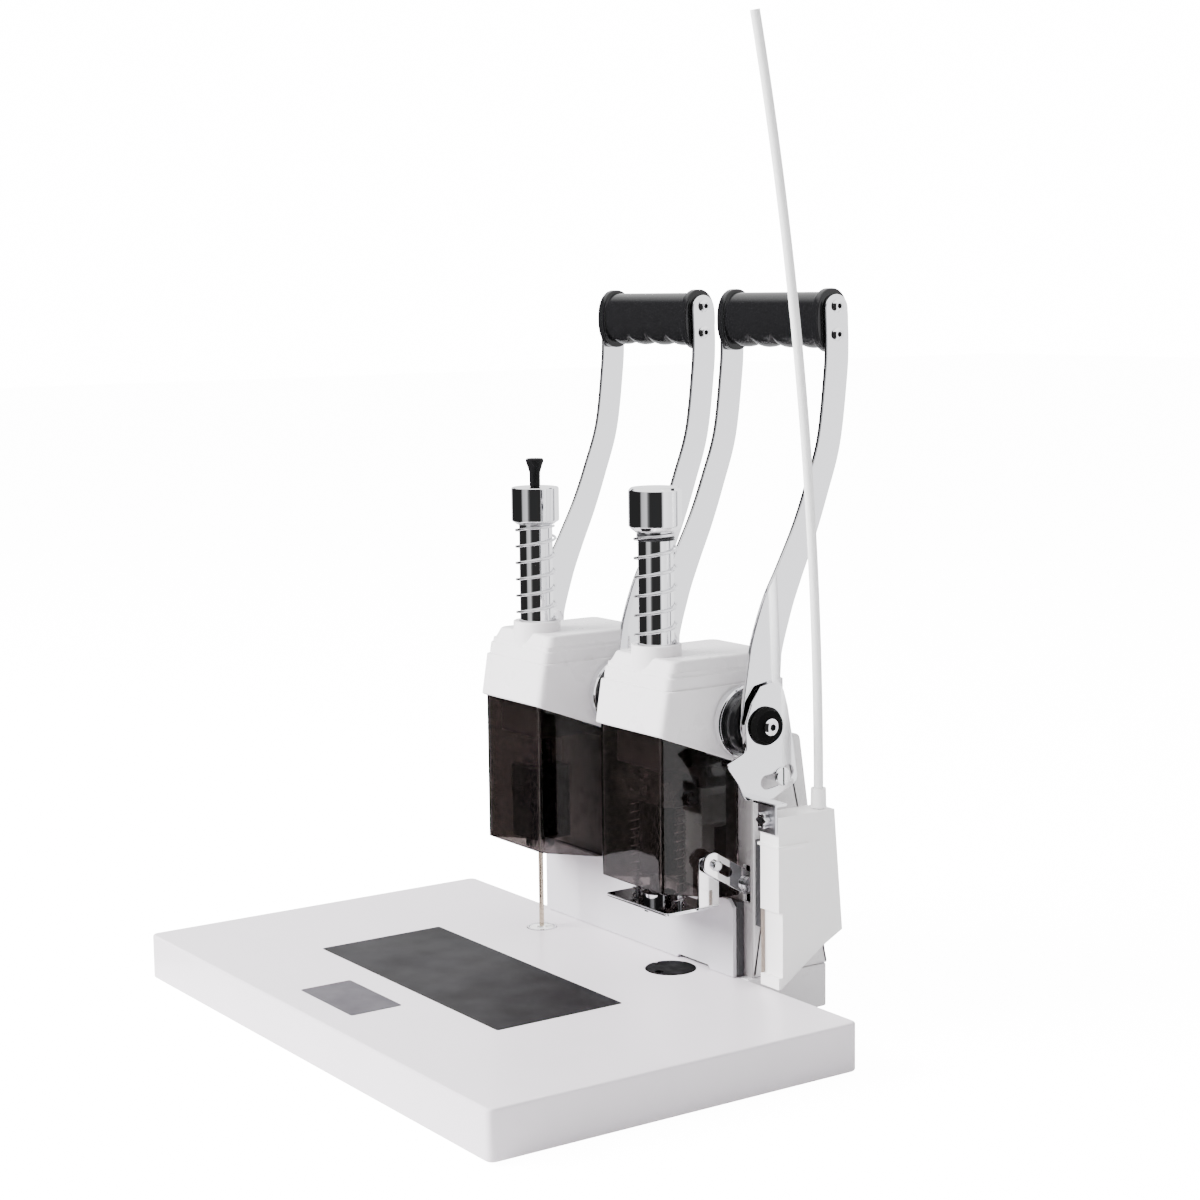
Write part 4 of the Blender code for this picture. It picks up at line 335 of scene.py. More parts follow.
laminate = Finish("laminate", (0.8, 0.8, 0.81), 0.35).tint(14, (0.835, 0.785, 0.83), (0.855, 0.80, 0.85))
laminate.rough(40, 0.28, 0.40).relief(2600, 0.00003, 0.15).set("Coat Weight", 0.15)
paint = Finish("white_paint", (0.84, 0.835, 0.84), 0.3).tint(20, (0.835, 0.81, 0.828), (0.86, 0.835, 0.853))
paint.rough(60, 0.24, 0.36).relief(1100, 0.00004, 0.22).set("Coat Weight", 0.2)
moulding = Finish("white_moulding", (0.86, 0.86, 0.87), 0.3).tint(25, (0.845, 0.825, 0.835),
                                                                  (0.87, 0.85, 0.86))
moulding.rough(70, 0.22, 0.34).relief(1600, 0.00003, 0.2)
chrome = Finish("chrome", (0.86, 0.86, 0.875), 0.05, 1).rough(90, 0.025, 0.075)
steel = Finish("steel", (0.60, 0.60, 0.62), 0.22, 1).rough(120, 0.16, 0.30).relief(420, 0.00003, 0.25,
        (1, 1, 9))
wire_steel = Finish("spring_steel", (0.80, 0.80, 0.82), 0.3, 1).rough(300, 0.26, 0.36)
satin = Finish("satin_plate", (0.74, 0.74, 0.77), 0.3, 1).rough(150, 0.28, 0.40)
# The white paper stop is coloured mid grey: painted shade over the whole stop.
stop_painted_shade = Finish("stop_painted_shade", (0.56, 0.545, 0.58), 0.4).rough(60, 0.34, 0.46).relief(1100, 0.00004, 0.2)
box_white_painted_glow = Finish("box_moulding_painted_glow", (0.9, 0.885, 0.885), 0.35).rough(70, 0.3, 0.42).relief(1600, 0.00003, 0.15)
# The box moulding glows faintly warm white: painted light that brightens the box, its shelf and its sleeve.
box_white_painted_glow.set("Emission Color", (1, 0.975, 0.96, 1)).set("Emission Strength", 0.28)
anvil_black = Finish("anvil_black", (0.004, 0.004, 0.004), 0.6).rough(150, 0.5,
                                                                      0.7).set("Specular IOR Level", 0.03)
bronze = Finish("drill_steel", (0.52, 0.44, 0.34), 0.22, 1).rough(500, 0.16, 0.34).relief(700, 0.00003,
        0.4, (1, 1, 0.1))
casting = Finish("casting", (0.40, 0.40, 0.42), 0.45, 0.6).rough(200, 0.38, 0.55).relief(1500, 0.0001, 0.4)
dark_steel = Finish("dark_coat", (0.055, 0.055, 0.06), 0.4, 0.2).rough(90, 0.32, 0.5).relief(1300,
        0.00005, 0.3)
black = Finish("black_gloss", (0.006, 0.006, 0.0065), 0.14).rough(25, 0.12,
                                                                  0.18).set("Specular IOR Level", 0.35)
satin_black = Finish("black_satin", (0.006, 0.006, 0.0065), 0.35).rough(120, 0.42,
        0.55).set("Specular IOR Level", 0.12)
rubber = Finish("rubber", (0.02, 0.02, 0.02), 0.8).relief(1500, 0.0001, 0.5)
# The nylon glows faintly white: painted light that brightens the rivet tube and the drill's pad.
nylon = Finish("nylon", (0.9, 0.9, 0.9), 0.35).rough(200, 0.28, 0.42).set("Subsurface Weight", 0.35)
nylon.set("Subsurface Radius", (0.0012, 0.0012, 0.0012)).set("Emission Strength", 0.12)
nylon.set("Emission Color", (1, 1, 1, 1))
# Dull tan for the cutter box's inside: painted shade, worn by the chute and by a sheet inside the box.
tan = Finish("tan_painted_shade", (0.30, 0.25, 0.21), 0.5).rough(100, 0.38, 0.52)
circuit = Finish("circuit", (0.02, 0.12, 0.05), 0.5).tint(900, (0.015, 0.09, 0.035), (0.03, 0.17, 0.07))
black_panel = Finish("black_panel", (0.01, 0.01, 0.011), 0.3).tint(45, (0.003, 0.0025, 0.003),
                                                                   (0.011, 0.0105, 0.012))
black_panel.rough(30, 0.5, 0.6).set("Specular IOR Level", 0.15)
grey_panel = Finish("grey_panel", (0.16, 0.15, 0.17), 0.35).tint(70, (0.065, 0.06, 0.07),
                                                                 (0.09, 0.085, 0.095))
grey_panel.rough(30, 0.5, 0.6).set("Specular IOR Level", 0.15)


def facing_painted_shade(name, light, dark, axis, low, high, roughness, metallic=0.0):
    """Painted shade or reflection by facing: turns from a light tone to a dark one where the surface's own
    normal points along an axis.
    """
    made = Finish(name, light, roughness, metallic)
    nodes, links = made.tree.nodes, made.tree.links
    place = nodes.new("ShaderNodeTexCoord")
    split = nodes.new("ShaderNodeSeparateXYZ")
    spread = nodes.new("ShaderNodeMapRange")
    spread.inputs["From Min"].default_value = low
    spread.inputs["From Max"].default_value = high
    mix = nodes.new("ShaderNodeMix")
    mix.data_type = "RGBA"
    mix.inputs[6].default_value = (*light, 1)
    mix.inputs[7].default_value = (*dark, 1)
    links.new(place.outputs["Normal"], split.inputs[0])
    links.new(split.outputs[axis], spread.inputs["Value"])
    links.new(spread.outputs["Result"], mix.inputs[0])
    return made.link(mix.outputs[2], "Base Color")


# Presser foot chrome, painted near black where it faces up: a painted reflection of the dark guard above it.
foot_chrome_painted_reflection = facing_painted_shade("foot_chrome_painted_reflection", (0.88, 0.88, 0.90), (0.012, 0.012, 0.014), "Z", 0.6, 0.9, 0.07, 1)
# White cover moulding, painted dark grey on its front-facing faces: painted shade on the cover's front.
cover_white_painted_shade = facing_painted_shade("cover_moulding_painted_shade", (0.30, 0.285, 0.29), (0.85, 0.835, 0.845), "Y", -0.8, -0.4, 0.3)
cover_white_painted_shade.rough(70, 0.24, 0.36).relief(1600, 0.00003, 0.2)


def smoked_finish():
    """Tinted clear plastic. Shadow rays pass it at part strength, so that the inside isn't black."""
    made = Finish("smoked", (0.10, 0.083, 0.08), 0.03).set("Transmission Weight", 1.0).set("IOR", 1.38)
    made.rough(60, 0.015, 0.05)
    tree = made.tree
    end = tree.nodes["Material Output"]
    path = tree.nodes.new("ShaderNodeLightPath")
    clear = tree.nodes.new("ShaderNodeBsdfTransparent")
    clear.inputs["Color"].default_value = (0.30, 0.27, 0.26, 1)
    mix = tree.nodes.new("ShaderNodeMixShader")
    tree.links.new(path.outputs["Is Shadow Ray"], mix.inputs["Fac"])
    tree.links.new(made.shader.outputs["BSDF"], mix.inputs[1])
    tree.links.new(clear.outputs["BSDF"], mix.inputs[2])
    tree.links.new(mix.outputs["Shader"], end.inputs["Surface"])
    return made


smoked = smoked_finish()

CAD_FINISH = {
    "laminate": laminate, "white_paint": paint, "white_plastic": moulding, "chrome": chrome, "steel": steel,
    "cast_frame": casting, "dark_steel": dark_steel, "black_plastic": satin_black, "smoked": smoked,
    "rubber": rubber, "nylon": nylon, "circuit": circuit,
}
for row in frame["record"]["subparts"]:
    node = frame["nodes"][row["node"]]
    node.data.materials.clear()
    node.data.materials.append(CAD_FINISH[row["material_slot"]].made)
# The chute is tan: painted shade inside the cutter box.
frame["nodes"]["tube_chute"].data.materials[0] = tan.made

# Work board
# A white laminated board with soft rounded rims. The drill's pad and the press's anvil are let
# into it. Two bare panels lie on its top. A solid here is (vertices, faces): rings of equal length
# are skinned with quads and capped, or joined into a loop, and the faces are turned outward.
ROUND = 96


def skin(rings, loop=False):
    """Quads between rings. Open ends get a flat cap; with loop the last ring joins the first."""
    rings = np.asarray(rings, float)
    count, around = rings.shape[:2]
    index = np.arange(count * around).reshape(count, around)
    upper = np.roll(index, -1, axis=0) if loop else index[1:]
    lower = index if loop else index[:-1]
    quads = np.stack([lower, np.roll(lower, -1, 1), np.roll(upper, -1, 1), upper], -1).reshape(-1, 4)
    faces = quads.tolist()
    if not loop:
        faces += [index[0][::-1].tolist(), index[-1].tolist()]
    verts = rings.reshape(-1, 3)
    volume = 0.0
    for face in faces:
        fan = verts[face]
        volume += np.einsum("ij,ij->", np.cross(fan[1:-1], fan[2:]), np.broadcast_to(fan[0], fan[2:].shape))
    return verts, faces if volume > 0 else [face[::-1] for face in faces]


def along(axis, a, b, c):
    """Points from two plane coordinates and one along the axis: X (c, a, b), Y (a, c, b), Z (a, b, c)."""
    a, b, c = np.broadcast_arrays(a, b, c)
    return np.stack({"X": (c, a, b), "Y": (a, c, b), "Z": (a, b, c)}[axis], -1)


def fillet(points, radius, closed=True, steps=5):
    """A line of points with its corners rounded: each corner becomes a curve that leaves one side
    and meets the other at the distance where a circle of the radius would touch them."""
    points = [np.array(p, float) for p in points]
    radii = radius if isinstance(radius, (list, tuple)) else [radius] * len(points)
    made = []
    for i, corner in enumerate(points):
        if (not closed and i in (0, len(points) - 1)) or not radii[i]:
            made.append(corner)
            continue
        before = points[i - 1] - corner
        after = points[(i + 1) % len(points)] - corner
        reach_before, reach_after = np.linalg.norm(before), np.linalg.norm(after)
        before, after = before / reach_before, after / reach_after
        half = math.acos(np.clip(before @ after, -1, 1)) / 2
        if half > math.pi / 2 - 0.02:
            made.append(corner)
            continue
        cut = min(radii[i] / math.tan(half), 0.48 * reach_before, 0.48 * reach_after)
        for t in np.linspace(0, 1, steps):
            made.append((1 - t) ** 2 * (corner + before * cut) + 2 * t * (1 - t) * corner
                        + t ** 2 * (corner + after * cut))
    return np.array(made)


def shrink(outline, distance):
    """A closed outline moved inward: each point slides along its corner's bisector."""
    outline = np.asarray(outline, float)
    ahead = np.roll(outline, -1, 0) - outline
    ahead /= np.linalg.norm(ahead, axis=1, keepdims=True) + 1e-12
    behind = np.roll(ahead, 1, 0)
    area = np.sum(outline[:, 0] * np.roll(outline[:, 1], -1) - np.roll(outline[:, 0], -1) * outline[:, 1])
    turn = np.array(((0, -1), (1, 0))) * (1 if area > 0 else -1)
    one, two = behind @ turn.T, ahead @ turn.T
    middle = one + two
    middle /= np.linalg.norm(middle, axis=1, keepdims=True) + 1e-12
    stretch = 1 / np.clip(np.sum(middle * two, 1), 0.35, 1)
    return outline + middle * (distance * stretch)[:, None]


def plate(outline, axis, low, high, edge=0.0004, steps=3):
    """A flat piece: an outline carried along an axis, with both rims rounded."""
    rings = []
    turns = np.linspace(0, math.pi / 2, steps + 1)
    levels = [(edge * (1 - math.sin(t)), low + edge * (1 - math.cos(t))) for t in turns]
    levels += [(edge * (1 - math.sin(t)), high - edge * (1 - math.cos(t))) for t in turns[::-1]]
    for inset, height in levels:
        line = shrink(outline, inset)
        rings.append(along(axis, line[:, 0], line[:, 1], height))
    return skin(rings)


def slab(low, high, radius=0.0008, edge=0.0004):
    """A box with rounded upright corners and rims."""
    outline = fillet(((low[0], low[1]), (high[0], low[1]), (high[0], high[1]), (low[0], high[1])), radius)
    return plate(outline, "Z", low[2], high[2], edge)


def box(low, high):
    """A plain box, for cutting."""
    corners = np.array(((low[0], low[1]), (high[0], low[1]), (high[0], high[1]), (low[0], high[1])))
    return skin([along("Z", corners[:, 0], corners[:, 1], z) for z in (low[2], high[2])])


def turned(profile, centre, axis="Z", steps=ROUND, soft=0.0):
    """A profile of (radius, height) pairs spun round an axis. A profile that starts and ends at
    radius 0 is solid; any other is a closed ring."""
    solid = profile[0][0] == 0
    profile = np.array(profile, float)
    if soft:
        profile = fillet(profile, soft, closed=not solid, steps=4)
    if solid:
        profile = profile[1:-1]
    angle = np.linspace(0, 2 * math.pi, steps, endpoint=False)
    a = profile[:, :1] * np.cos(angle)
    b = profile[:, :1] * np.sin(angle)
    rings = along(axis, a, b, profile[:, 1:] + np.zeros(steps)) + np.asarray(centre, float)
    return skin(rings, loop=not solid)


def piece(name, solid, finish, body, replaces=(), cutters=(), joins=(), sharp=32):
    """Makes an object from a solid, cuts it, dresses it and lets it ride on a body."""
    def raw(label, points_faces):
        mesh = bpy.data.meshes.new(label)
        mesh.from_pydata(points_faces[0].tolist(), [], points_faces[1])
        item = bpy.data.objects.new(label, mesh)
        bpy.context.scene.collection.objects.link(item)
        return item

    item = raw(name, solid)
    tools = []
    for operation, shapes in (("UNION", joins), ("DIFFERENCE", cutters)):
        for shape in shapes:
            tool = raw("tool", shape)
            step = item.modifiers.new("cut", "BOOLEAN")
            step.operation, step.solver, step.object = operation, "EXACT", tool
            tools.append(tool)
    if tools:
        bpy.context.view_layer.update()
        graph = bpy.context.evaluated_depsgraph_get()
        final = bpy.data.meshes.new_from_object(item.evaluated_get(graph))
        item.modifiers.clear()
        item.data = final
        for tool in tools:
            bpy.data.objects.remove(tool)
    item.data.name = name
    item.data.materials.clear()
    item.data.materials.append(finish.made)
    item.data.shade_smooth()
    item.data.set_sharp_from_angle(angle=math.radians(sharp))
    weigh = item.modifiers.new("weigh", "WEIGHTED_NORMAL")
    weigh.keep_sharp = True
    weigh.weight = 90
    bpy.context.view_layer.update()
    graph = bpy.context.evaluated_depsgraph_get()
    even = bpy.data.meshes.new_from_object(item.evaluated_get(graph), preserve_all_data_layers=True,
                                           depsgraph=graph)
    item.modifiers.clear()
    item.data = even
    item.data.name = name
    if replaces:
        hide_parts(*replaces)
    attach(item, body)
    return item


TOP = 0.0277
BOARD_X = 0.190
BOARD_Y = (-0.14635, 0.07765)
AXIS_Y = 0.04785
DRILL = np.array((-0.0631, AXIS_Y, TOP))
PRESS = np.array((0.0562, AXIS_Y, TOP))
ANVIL = PRESS + (-0.003, 0.0098, 0)
GAP = 0.0003
PANEL_SKIN = (0.00002, 0.00022)
RIM_FOOT = 0.0015
RING = (0.0075, 0.0087)
PAD = (0.0028, 0.0072)
PAD_DEPTH = 0.006
ANVIL_RADIUS = 0.01407
ANVIL_DEPTH = 0.008
PROUD = 0.0004
DIE = (0.0025, 0.0016)
PANELS = (("work_panel", black_panel, (-0.0994, -0.0799), (0.0911, -0.0016)),
          ("small_panel", grey_panel, (-0.0335, -0.1281), (0.0241, -0.0975)))
board_line = fillet(((-BOARD_X, BOARD_Y[0]), (BOARD_X, BOARD_Y[0]), (BOARD_X, BOARD_Y[1]),
                     (-BOARD_X, BOARD_Y[1])), 0.005, steps=9)
piece("board", plate(board_line, "Z", RIM_FOOT, TOP, 0.0013, 5), laminate, "root", ["base_board"],
      cutters=[turned(((0, -0.03), (0.00905, -0.03), (0.00905, 0.01), (0, 0.01)), DRILL),
               turned(((0, -0.0085), (0.01437, -0.0085), (0.01437, 0.01), (0, 0.01)), ANVIL)])
for name, finish, low, high in PANELS:
    piece(name, slab((*low, TOP + PANEL_SKIN[0]), (*high, TOP + PANEL_SKIN[1]), 0.0016, 0.00005), finish,
          "root")
piece("pad_ring", turned(((RING[0], -PAD_DEPTH), (RING[1], -PAD_DEPTH), (RING[1], PROUD),
                          (RING[0], PROUD)), DRILL, soft=GAP), chrome, "root",
      ["drill_pad_ring"])
piece("pad", turned(((PAD[0], -PAD_DEPTH), (PAD[1], -PAD_DEPTH), (PAD[1], 0), (PAD[0], 0)), DRILL,
                    soft=0.0002), nylon, "root", ["drill_pad"])
piece("anvil", turned(((0, -ANVIL_DEPTH), (ANVIL_RADIUS, -ANVIL_DEPTH), (ANVIL_RADIUS, PROUD),
                       (0, PROUD)), ANVIL, soft=GAP), anvil_black, "root",
      ["anvil_disc"], cutters=[turned(((0, -DIE[1]), (DIE[0], -DIE[1]), (DIE[0], 0.01), (0, 0.01)), PRESS,
                                      steps=48), box(ANVIL + (-0.0160, -0.0014, -0.001),
                                                     ANVIL + (-0.0120, 0.0014, 0.004))])

# Column behind the heads
# The steel base box behind the board, the white paper stop that stands on the board, and the
# moulded column cover with the cradle that clears the lever hubs.
PAIR_X = -0.00345
HALF = 0.101
LEVER_Y = 0.08205
LEVER_Z = 0.1700
BASE_BACK = 0.13415
STOP_Y = (0.07345, 0.07595)
COVER_Y = 0.08125
COVER_TOP = 0.1608
COVER_BACK = 0.11485
WALL = 0.0022
rear_line = fillet(((PAIR_X - HALF, BOARD_Y[1] + GAP), (PAIR_X + HALF, BOARD_Y[1] + GAP),
                    (PAIR_X + HALF, BASE_BACK), (PAIR_X - HALF, BASE_BACK)),
                   [0.0004, 0.0004, 0.003, 0.003])
piece("base_box", plate(rear_line, "Z", 0.0032, TOP, 0.0008), paint, "root", ["rear_base"])
stop_low, stop_high = TOP + GAP, TOP + 0.0437
stop_half = HALF - 0.0077
stop_line = fillet(((PAIR_X - stop_half, stop_low), (ANVIL[0] - 0.0155, stop_low),
                    (ANVIL[0] - 0.0135, stop_low + 0.002), (ANVIL[0] + 0.0135, stop_low + 0.002),
                    (ANVIL[0] + 0.0155, stop_low), (PAIR_X + stop_half, stop_low),
                    (PAIR_X + stop_half, stop_high - 0.0042), (PAIR_X + stop_half - 0.0042, stop_high),
                    (PAIR_X - stop_half + 0.0042, stop_high), (PAIR_X - stop_half, stop_high - 0.0042)),
                   0.0006)
# The stop wears the grey painted shade.
piece("paper_stop", plate(stop_line, "Y", *STOP_Y, 0.0004), stop_painted_shade, "root", ["back_plate"])


def cover_line(inset, base):
    """Side outline of the column cover, with the cradle as an arc about the lever axis."""
    radius = 0.0229 + inset
    top = COVER_TOP - inset
    start = -math.pi + math.acos((LEVER_Y - COVER_Y - inset) / radius)
    end = -math.asin((LEVER_Z - top) / radius)
    turn = np.linspace(start, end, 40)
    points = [(COVER_Y + inset, base)]
    points += list(zip(LEVER_Y + radius * np.cos(turn), LEVER_Z + radius * np.sin(turn)))
    return np.array(points + [(COVER_BACK - inset, top), (BASE_BACK - inset, base)])


def neck_space(x, margin):
    half = 0.020 + margin
    return box((x - half, LEVER_Y - 0.0275, 0.1412 - margin), (x + half, LEVER_Y + 0.0275, LEVER_Z - margin))


cover = cover_line(0, TOP + GAP)
cover_round = fillet(cover, [0.0004] + [0] * 39 + [0.0012, 0.004, 0.0004])
lean = math.atan2(BASE_BACK - COVER_BACK, COVER_TOP - TOP - GAP)
inlet_y = BASE_BACK + (COVER_BACK - BASE_BACK) * (0.034 - GAP) / (COVER_TOP - TOP - GAP)
INLET = np.array((PAIR_X + 0.052, inlet_y, TOP + 0.034))


def on_back(solid):
    """Carries a solid made about the origin on to the cover's leaning back."""
    turn = np.array(Matrix.Rotation(lean, 3, "X"))
    return solid[0] @ turn.T + INLET, solid[1]


piece("column_cover", plate(cover_round, "X", PAIR_X - HALF, PAIR_X + HALF, 0.0016, 4), cover_white_painted_shade,
      "root", ["rear_cover"], cutters=[plate(cover_line(WALL, TOP - 0.004), "X",
                                                              PAIR_X - HALF + WALL, PAIR_X + HALF - WALL,
                                                              0), neck_space(DRILL[0], 0.0005),
                                                        neck_space(PRESS[0], 0.0005),
                                                        box((0.0892, COVER_Y - 0.004, 0.0696),
                                                            (0.09535, COVER_Y + 0.0062, 0.0908)),
                                                        on_back(box((-0.023, -0.020, -0.01175),
                                                                    (0.023, 0.004, 0.01175)))])

# Head housings
# Painted shells that lean back at the front, drawn in above a crease, with softly rounded
# shoulders, rounded front corners and a round collar for the column on top.
HEAD_FRONT = 0.0208
HEAD_BACK = 0.0645
HEAD_CORNER = 0.0052
HEAD_LOW = TOP + 0.1391
HEAD_TOP = TOP + 0.1783
CREASE = TOP + 0.1631
BARREL = 0.0224
SLOPE = math.tan(math.asin(BARREL / math.hypot(0.0550, 0.0032)) - math.atan2(0.0032, 0.0550))
LEAN = (HEAD_FRONT - 0.01385) / (HEAD_TOP - HEAD_LOW)


def rim_z(y):
    """Height of a head's lower rim: a slope that runs into an arc about the lever axis."""
    line = HEAD_LOW - SLOPE * (y - AXIS_Y + HEAD_FRONT)
    touch = LEVER_Y - BARREL * math.sin(math.atan(SLOPE))
    away = np.clip(y - LEVER_Y, -BARREL, BARREL)
    arc = LEVER_Z - np.sqrt(BARREL ** 2 - away ** 2)
    return np.where(y < touch, line, np.minimum(arc, COVER_TOP + 0.0005))


def head_plan(z, draw):
    """Rounded plan of a head at a height, drawn in all round, as offsets from its axis."""
    half = 0.032 - draw
    front = -HEAD_FRONT + LEAN * (z - HEAD_LOW) + draw
    back = HEAD_BACK - draw
    line = fillet(((-half, front), (half, front), (half, back), (-half, back)), HEAD_CORNER, steps=11)
    dense = []
    for i, point in enumerate(line):
        after = line[(i + 1) % len(line)]
        share = np.linspace(0, 1, 13 if np.linalg.norm(after - point) > 0.02 else 2)[:-1]
        dense += [point + (after - point) * s for s in share]
    return np.array(dense)


def head_shell(axis):
    """The shell from its lower rim up over the crease and shoulder, then back down inside."""
    body = [(share, 0.0) for share in (0.0, 0.02, 0.35, 0.7, 0.97, 1.0)]
    rings = []
    for share, draw in [(0.0, 0.0005)] + body:
        plan = head_plan(HEAD_LOW + (CREASE - 0.0006 - HEAD_LOW) * share, draw)
        rim = rim_z(plan[:, 1] + AXIS_Y) + (0 if draw or share else 0.0005)
        z = rim + (CREASE - 0.0006 - rim) * share
        plan = head_plan_at(z, draw)
        rings.append(along("Z", plan[:, 0], plan[:, 1], z))
    radius = 0.0018
    step = CREASE + 0.0066
    upper = [(CREASE - 0.0003, 0.0003), (CREASE - 0.0002, 0.0012), (CREASE + 0.0003, 0.0012),
             (CREASE + 0.0006, 0.0009), (step - 0.0005, 0.0009), (step, 0.0012), (step + 0.0001, 0.0017),
             (HEAD_TOP - radius, 0.0040)]
    upper += [(HEAD_TOP - radius * (1 - math.sin(t)), 0.0040 + radius * (1 - math.cos(t)))
              for t in np.linspace(0.2, math.pi / 2, 7)]
    for z, draw in upper:
        plan = head_plan(z, draw)
        rings.append(along("Z", plan[:, 0], plan[:, 1], z))
    rings = rings[::-1]
    for share in (0.0, 0.5, 1.0):
        plan = head_plan(HEAD_LOW, 0.002)
        rim = rim_z(plan[:, 1] + AXIS_Y)
        z = rim + (HEAD_TOP - 0.006 - rim) * share
        plan = head_plan_at(z, 0.002)
        rings.append(along("Z", plan[:, 0], plan[:, 1], z))
    verts, faces = skin(rings)
    return verts + (axis[0], axis[1], 0), faces


def head_plan_at(z, draw):
    """The plan with each point's front lean taken at its own height."""
    plan = head_plan(HEAD_LOW, draw)
    span = HEAD_BACK - draw - (-HEAD_FRONT + draw)
    share = (HEAD_BACK - draw - plan[:, 1]) / span
    plan[:, 1] += LEAN * (z - HEAD_LOW) * np.clip(share * 6 - 5, 0, 1)
    return plan


COLLAR_TOP = HEAD_TOP + 0.006
for word, axis in (("drill", DRILL), ("press", PRESS)):
    collar = turned(((0.01025, -0.010), (0.01385, -0.010), (0.01385, 0.006), (0.01025, 0.006)),
                    (axis[0], axis[1], HEAD_TOP), soft=0.0008)
    bore = turned(((0, -0.012), (0.0104, -0.012), (0.0104, 0.01), (0, 0.01)), (axis[0], axis[1], HEAD_TOP))
    piece(word + "_housing", head_shell(axis), paint, "root", [word + "_head_cover"],
          cutters=[bore])
    piece(word + "_collar", collar, paint, "root")

# Smoked guards
# Tinted clear shells under the heads, moulded in one piece, open below and behind, with rounded
# front corners. Their upper edge tucks in under the head's rim.
GUARD_HALF = 0.0290
GUARD_FRONT = -0.0186
GUARD_CORNER = 0.0032
GUARD_WALL = 0.002


def guard_shell(axis):
    """A wall of constant thickness swept round the plan; its foot and head follow the rims."""
    knee, back = STOP_Y[0] - 0.0042, COVER_Y - GAP
    level = stop_high + 0.0012
    fall = (TOP + 0.0528 - level) / (knee - AXIS_Y - GUARD_FRONT)

    def path(inset):
        half, front = GUARD_HALF - inset, GUARD_FRONT + inset
        line = fillet(((half, back - AXIS_Y), (half, front), (-half, front), (-half, back - AXIS_Y)),
                      GUARD_CORNER - inset, closed=False, steps=9)
        dense = [line[0]]
        for before, after in zip(line, line[1:]):
            count = 16 if np.linalg.norm(after - before) > 0.02 else 1
            dense += [before + (after - before) * s for s in np.linspace(0, 1, count + 1)[1:]]
        return np.array(dense)

    outer, inner = path(0), path(GUARD_WALL)
    rings = []
    for (xo, yo), (xi, yi) in zip(outer, inner):
        low = level + fall * max(0, knee - yo - AXIS_Y)
        touch = LEVER_Y - BARREL
        high = float(rim_z(np.array(yo + AXIS_Y))) + (0.0015 if yo + AXIS_Y < touch else -0.0006)
        soft = 0.0004
        rings.append([(xo, yo, low + soft), (xo + (xi - xo) * 0.2, yo + (yi - yo) * 0.2, low),
                      (xo + (xi - xo) * 0.8, yo + (yi - yo) * 0.8, low), (xi, yi, low + soft),
                      (xi, yi, high), (xo, yo, high)])
    verts, faces = skin(rings)
    return verts + (axis[0], axis[1], 0), faces


for word, axis in (("drill", DRILL), ("press", PRESS)):
    piece(word + "_smoked_guard", guard_shell(axis), smoked, "root", [word + "_guard"])

# Columns, caps and return springs
# Hard-chromed hollow columns with rack teeth in the back, closed by plated caps that hold down
# bright coil springs.
PITCH = math.pi * 0.001256


def swept(path, radius, sides=16):
    """A round bar along a path; the frame of each section is carried from the one before."""
    path = np.asarray(path, float)
    ahead = np.gradient(path, axis=0)
    ahead /= np.linalg.norm(ahead, axis=1, keepdims=True)
    side = np.cross(ahead[0], (0.3, 0.9, 0.31))
    angle = np.linspace(0, 2 * math.pi, sides, endpoint=False)
    rings = []
    for point, direction in zip(path, ahead):
        side = side - direction * (side @ direction)
        side /= np.linalg.norm(side)
        other = np.cross(direction, side)
        rings.append(point + radius * (np.outer(np.cos(angle), side) + np.outer(np.sin(angle), other)))
    return skin(rings)


def column_solid(axis, low, high):
    """A tube whose back is cut to the rack's tooth line: where the line at a height lies nearer
    than the round surface, the surface moves in to it."""
    marks = [low, low + 0.0008, high - 0.0008, high]
    slope = math.tan(math.radians(20))
    root, pitch_line, outer = 0.00688, 0.00845, 0.00975
    half_root = (PITCH + 0.0005) / 4 - slope * (pitch_line - root)
    half_outer = (PITCH + 0.0005) / 4 + slope * (outer - pitch_line)
    line = []
    for k in range(-2, 11):
        z = LEVER_Z + k * PITCH
        line += [(z - half_outer, outer), (z - half_root, root), (z + half_root, root),
                 (z + half_outer, outer)]
    line = [(low, outer)] + line + [(high, outer)]
    heights = sorted(marks + [z for z, depth in line[1:-1]])
    depth = np.interp(heights, [z for z, d in line], [d for z, d in line])
    angle = np.linspace(0, 2 * math.pi, 144, endpoint=False) + math.pi / 144
    rings = []
    for z, d in zip(heights, depth):
        back = np.sin(angle)
        radius = np.full(144, 0.00975 - (0.0006 if z in (low, high) else 0))
        behind = back > 0.3
        radius[behind] = np.minimum(radius[behind], d / back[behind])
        rings.append(along("Z", radius * np.cos(angle), radius * np.sin(angle), z))
    bore = [along("Z", 0.0034 * np.cos(angle), 0.0034 * np.sin(angle), z) for z in (high, low)]
    verts, faces = skin(rings + bore, loop=True)
    return verts + (axis[0], axis[1], 0), faces


def coil(centre, radius, low, high, turns, wire, per=40):
    """A spring with an even pitch, whose first and last quarter turns lie flat."""
    share = np.linspace(0, 1, turns * per + 1)
    end = 0.25 / turns
    rise = np.interp(share, (0, end, 1 - end, 1), (0, wire * 1.1, high - low - 2 * wire - wire * 1.1,
                                                   high - low - 2 * wire))
    angle = 2 * math.pi * turns * share + 0.6
    return np.stack([centre[0] + radius * np.cos(angle), centre[1] + radius * np.sin(angle),
                     low + wire + rise], -1)


